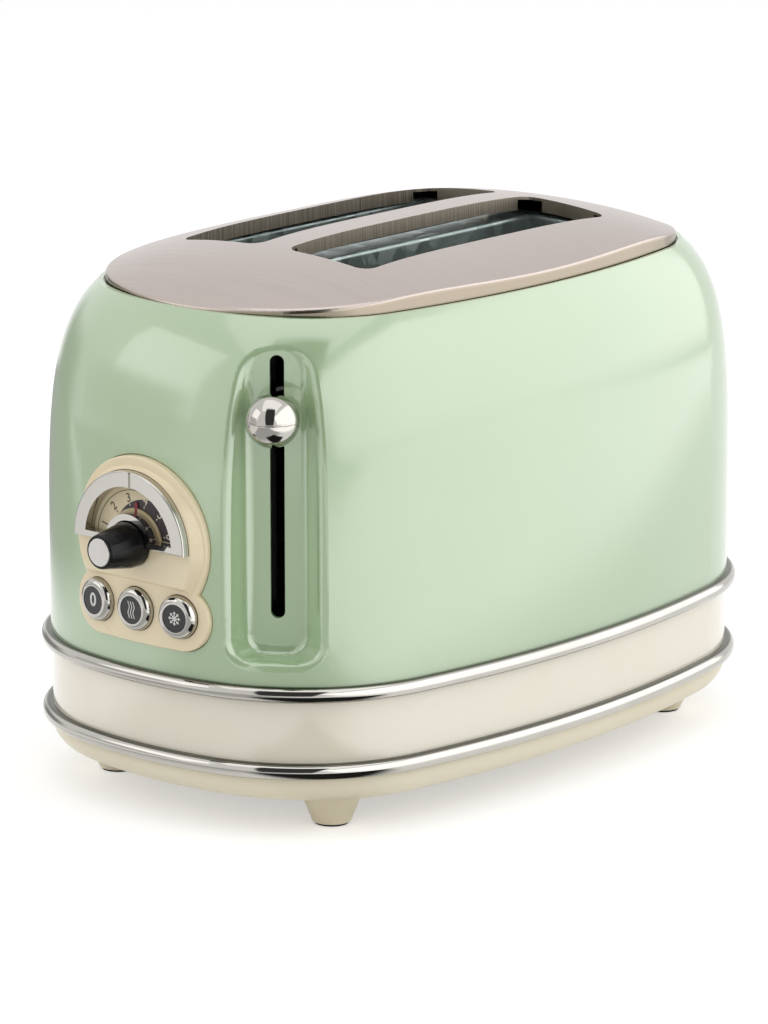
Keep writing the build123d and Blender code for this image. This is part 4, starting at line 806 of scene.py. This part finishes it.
# %% Crescent and scale line
CIRCLE_STEPS = 96
CRESCENT_RADIUS = 16.9 * MM
CRESCENT_SHIFT = (4.9 * MM, 0.2 * MM, 0)
SCALE_RADIUS = 19.9 * MM
SCALE_WIDTH = 0.26 * MM
SCALE_SHIFT = (-0.6 * MM, 0, 0)
brown_ink = ink("brown_ink", "46302A")
charcoal_ink = ink("charcoal_ink", "40383A")

crescent_bm = bmesh.new()
bmesh.ops.create_circle(crescent_bm, cap_ends=True, segments=CIRCLE_STEPS, radius=CRESCENT_RADIUS)
bmesh.ops.translate(crescent_bm, vec=CRESCENT_SHIFT, verts=crescent_bm.verts)
keep_above_bar(crescent_bm)
print_on(crescent_bm, "dial_crescent", DIAL_PLANE, "dial_face", charcoal_ink)

line_bm = bmesh.new()
for radius in (SCALE_RADIUS, SCALE_RADIUS + SCALE_WIDTH):
    bmesh.ops.create_circle(line_bm, segments=CIRCLE_STEPS, radius=radius)
bmesh.ops.bridge_loops(line_bm, edges=line_bm.edges)
bmesh.ops.translate(line_bm, vec=SCALE_SHIFT, verts=line_bm.verts)
keep_above_bar(line_bm)
print_on(line_bm, "dial_scale_line", DIAL_PLANE, "dial_face", brown_ink)
print("crescent and scale line printed")

# %% Numerals and ticks
NUMERAL_COUNT = 6
NUMERAL_RADIUS = 17.1 * MM
NUMERAL_SIZE = 4.9 * MM
NUMERAL_STEP = math.radians(29.6)
FIRST_NUMERAL = math.radians(-74)
FIRST_PALE_NUMERAL = 4
TICK_INNER = 14.0 * MM
TICK_OUTER = 15.0 * MM
TICK_WIDTH = 0.34 * MM
FIRST_PALE_TICK = 3
pale_ink = ink("pale_ink", "E6DFCC")


def dial_point(angle, radius):
    """A point of the drawing at an angle clockwise from the top."""
    return (math.sin(angle) * radius, math.cos(angle) * radius)


tick_drawings = {"dark": bmesh.new(), "pale": bmesh.new()}
for number in range(1, NUMERAL_COUNT + 1):
    angle = FIRST_NUMERAL + (number - 1) * NUMERAL_STEP
    numeral = text_drawing(str(number), NUMERAL_SIZE)
    bmesh.ops.rotate(numeral, matrix=Matrix.Rotation(-angle, 3, "Z"), verts=numeral.verts)
    x, y = dial_point(angle, NUMERAL_RADIUS)
    bmesh.ops.translate(numeral, vec=(x, y, INK_THICKNESS), verts=numeral.verts)
    numeral_ink = brown_ink if number < FIRST_PALE_NUMERAL else pale_ink
    name = f"dial_numeral_{number}"
    print_on(numeral, name, DIAL_PLANE, "dial_face", numeral_ink)
    ticks = tick_drawings["dark" if number < FIRST_PALE_TICK else "pale"]
    flat_bar(ticks, dial_point(angle, TICK_INNER), dial_point(angle, TICK_OUTER), TICK_WIDTH)

for label, tick_ink in (("dark", brown_ink), ("pale", pale_ink)):
    ticks = tick_drawings[label]
    bmesh.ops.translate(ticks, vec=(0, 0, INK_THICKNESS), verts=ticks.verts)
    print_on(ticks, f"dial_ticks_{label}", DIAL_PLANE, "dial_face", tick_ink)
print("numerals and ticks printed:", NUMERAL_COUNT)

# %% [markdown]
# ## Button symbols
# Each button carries a plain symbol on its dark disc: a nought to stop, rising heat to
# warm up again, and a snowflake for frozen bread. The discs are not square to the
# toaster's end, because the end wall is curved, so each drawing plane is turned to face
# out along its own button.

# %% Button drawing planes
END_RADIUS = 172.5 * MM
END_CENTRE = PLAN_MIDDLE + Vector((0, 20.5 * MM, 0))
BUTTON_FACE = 3.2 * MM


def button_plane(node):
    """The matrix that stands a flat drawing on a button's dark disc."""
    low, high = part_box(node)
    middle = (low + high) / 2
    outwards = Vector((middle.x, middle.y - END_CENTRE.y, 0)).normalized()
    across = Vector((-outwards.y, outwards.x, 0))
    upright = Vector((0, 0, 1))
    front = Vector((END_CENTRE.x, END_CENTRE.y, middle.z)) + outwards * (END_RADIUS + BUTTON_FACE)
    turn = Matrix((across, upright, outwards)).transposed().to_4x4()
    return Matrix.Translation(front - outwards * INK_SINK) @ turn


# %% Nought
SYMBOL_SIZE = 7.4 * MM
SYMBOL_BOLD = 0.12 * MM
stop_bm = text_drawing("0", SYMBOL_SIZE, SYMBOL_BOLD)
print("nought:", len(stop_bm.faces), "faces")

# %% Rising heat
WAVE_COUNT = 3
WAVE_HEIGHT = 6.6 * MM
WAVE_GAP = 1.25 * MM
WAVE_SWAY = 0.34 * MM
WAVE_WIDTH = 0.36 * MM
WAVE_STEPS = 16
WAVE_BENDS = 3
heat_bm = bmesh.new()
for column in range(WAVE_COUNT):
    wave = bmesh.ops.create_grid(heat_bm, x_segments=1, y_segments=WAVE_STEPS, size=0.5)["verts"]
    bmesh.ops.scale(heat_bm, vec=(WAVE_WIDTH, WAVE_HEIGHT, 1), verts=wave)
    for vert in wave:
        vert.co.x += WAVE_SWAY * math.sin(vert.co.y / WAVE_HEIGHT * WAVE_BENDS * math.pi)
    shift = (column - (WAVE_COUNT - 1) / 2) * WAVE_GAP
    bmesh.ops.translate(heat_bm, vec=(shift, 0, 0), verts=wave)
print("rising heat:", len(heat_bm.faces), "faces")

# %% Snowflake
ARM_COUNT = 8
ARM = 2.7 * MM
ARM_WIDTH = 0.40 * MM
BARB_WIDTH = 0.32 * MM
BARB = 0.75 * MM
BARB_PLACE = 0.62
BARB_LEAN = 0.8
flake_bm = bmesh.new()
for index in range(ARM_COUNT):
    turn = index * 2 * math.pi / ARM_COUNT
    flat_bar(flake_bm, (0, 0), dial_point(turn, ARM), ARM_WIDTH)
    root = dial_point(turn, ARM * BARB_PLACE)
    for lean in (-BARB_LEAN, BARB_LEAN):
        end_x, end_y = dial_point(turn + lean, BARB)
        flat_bar(flake_bm, root, (root[0] + end_x, root[1] + end_y), BARB_WIDTH)
print("snowflake:", len(flake_bm.faces), "faces")

# %% Print the symbols
symbol_ink = ink("symbol_ink", "EDEDE8")
for label, drawing in (("stop", stop_bm), ("reheat", heat_bm), ("defrost", flake_bm)):
    inset = f"{label}_button_inset"
    print_on(drawing, f"{label}_symbol", button_plane(inset), inset, symbol_ink)
print("buttons printed")
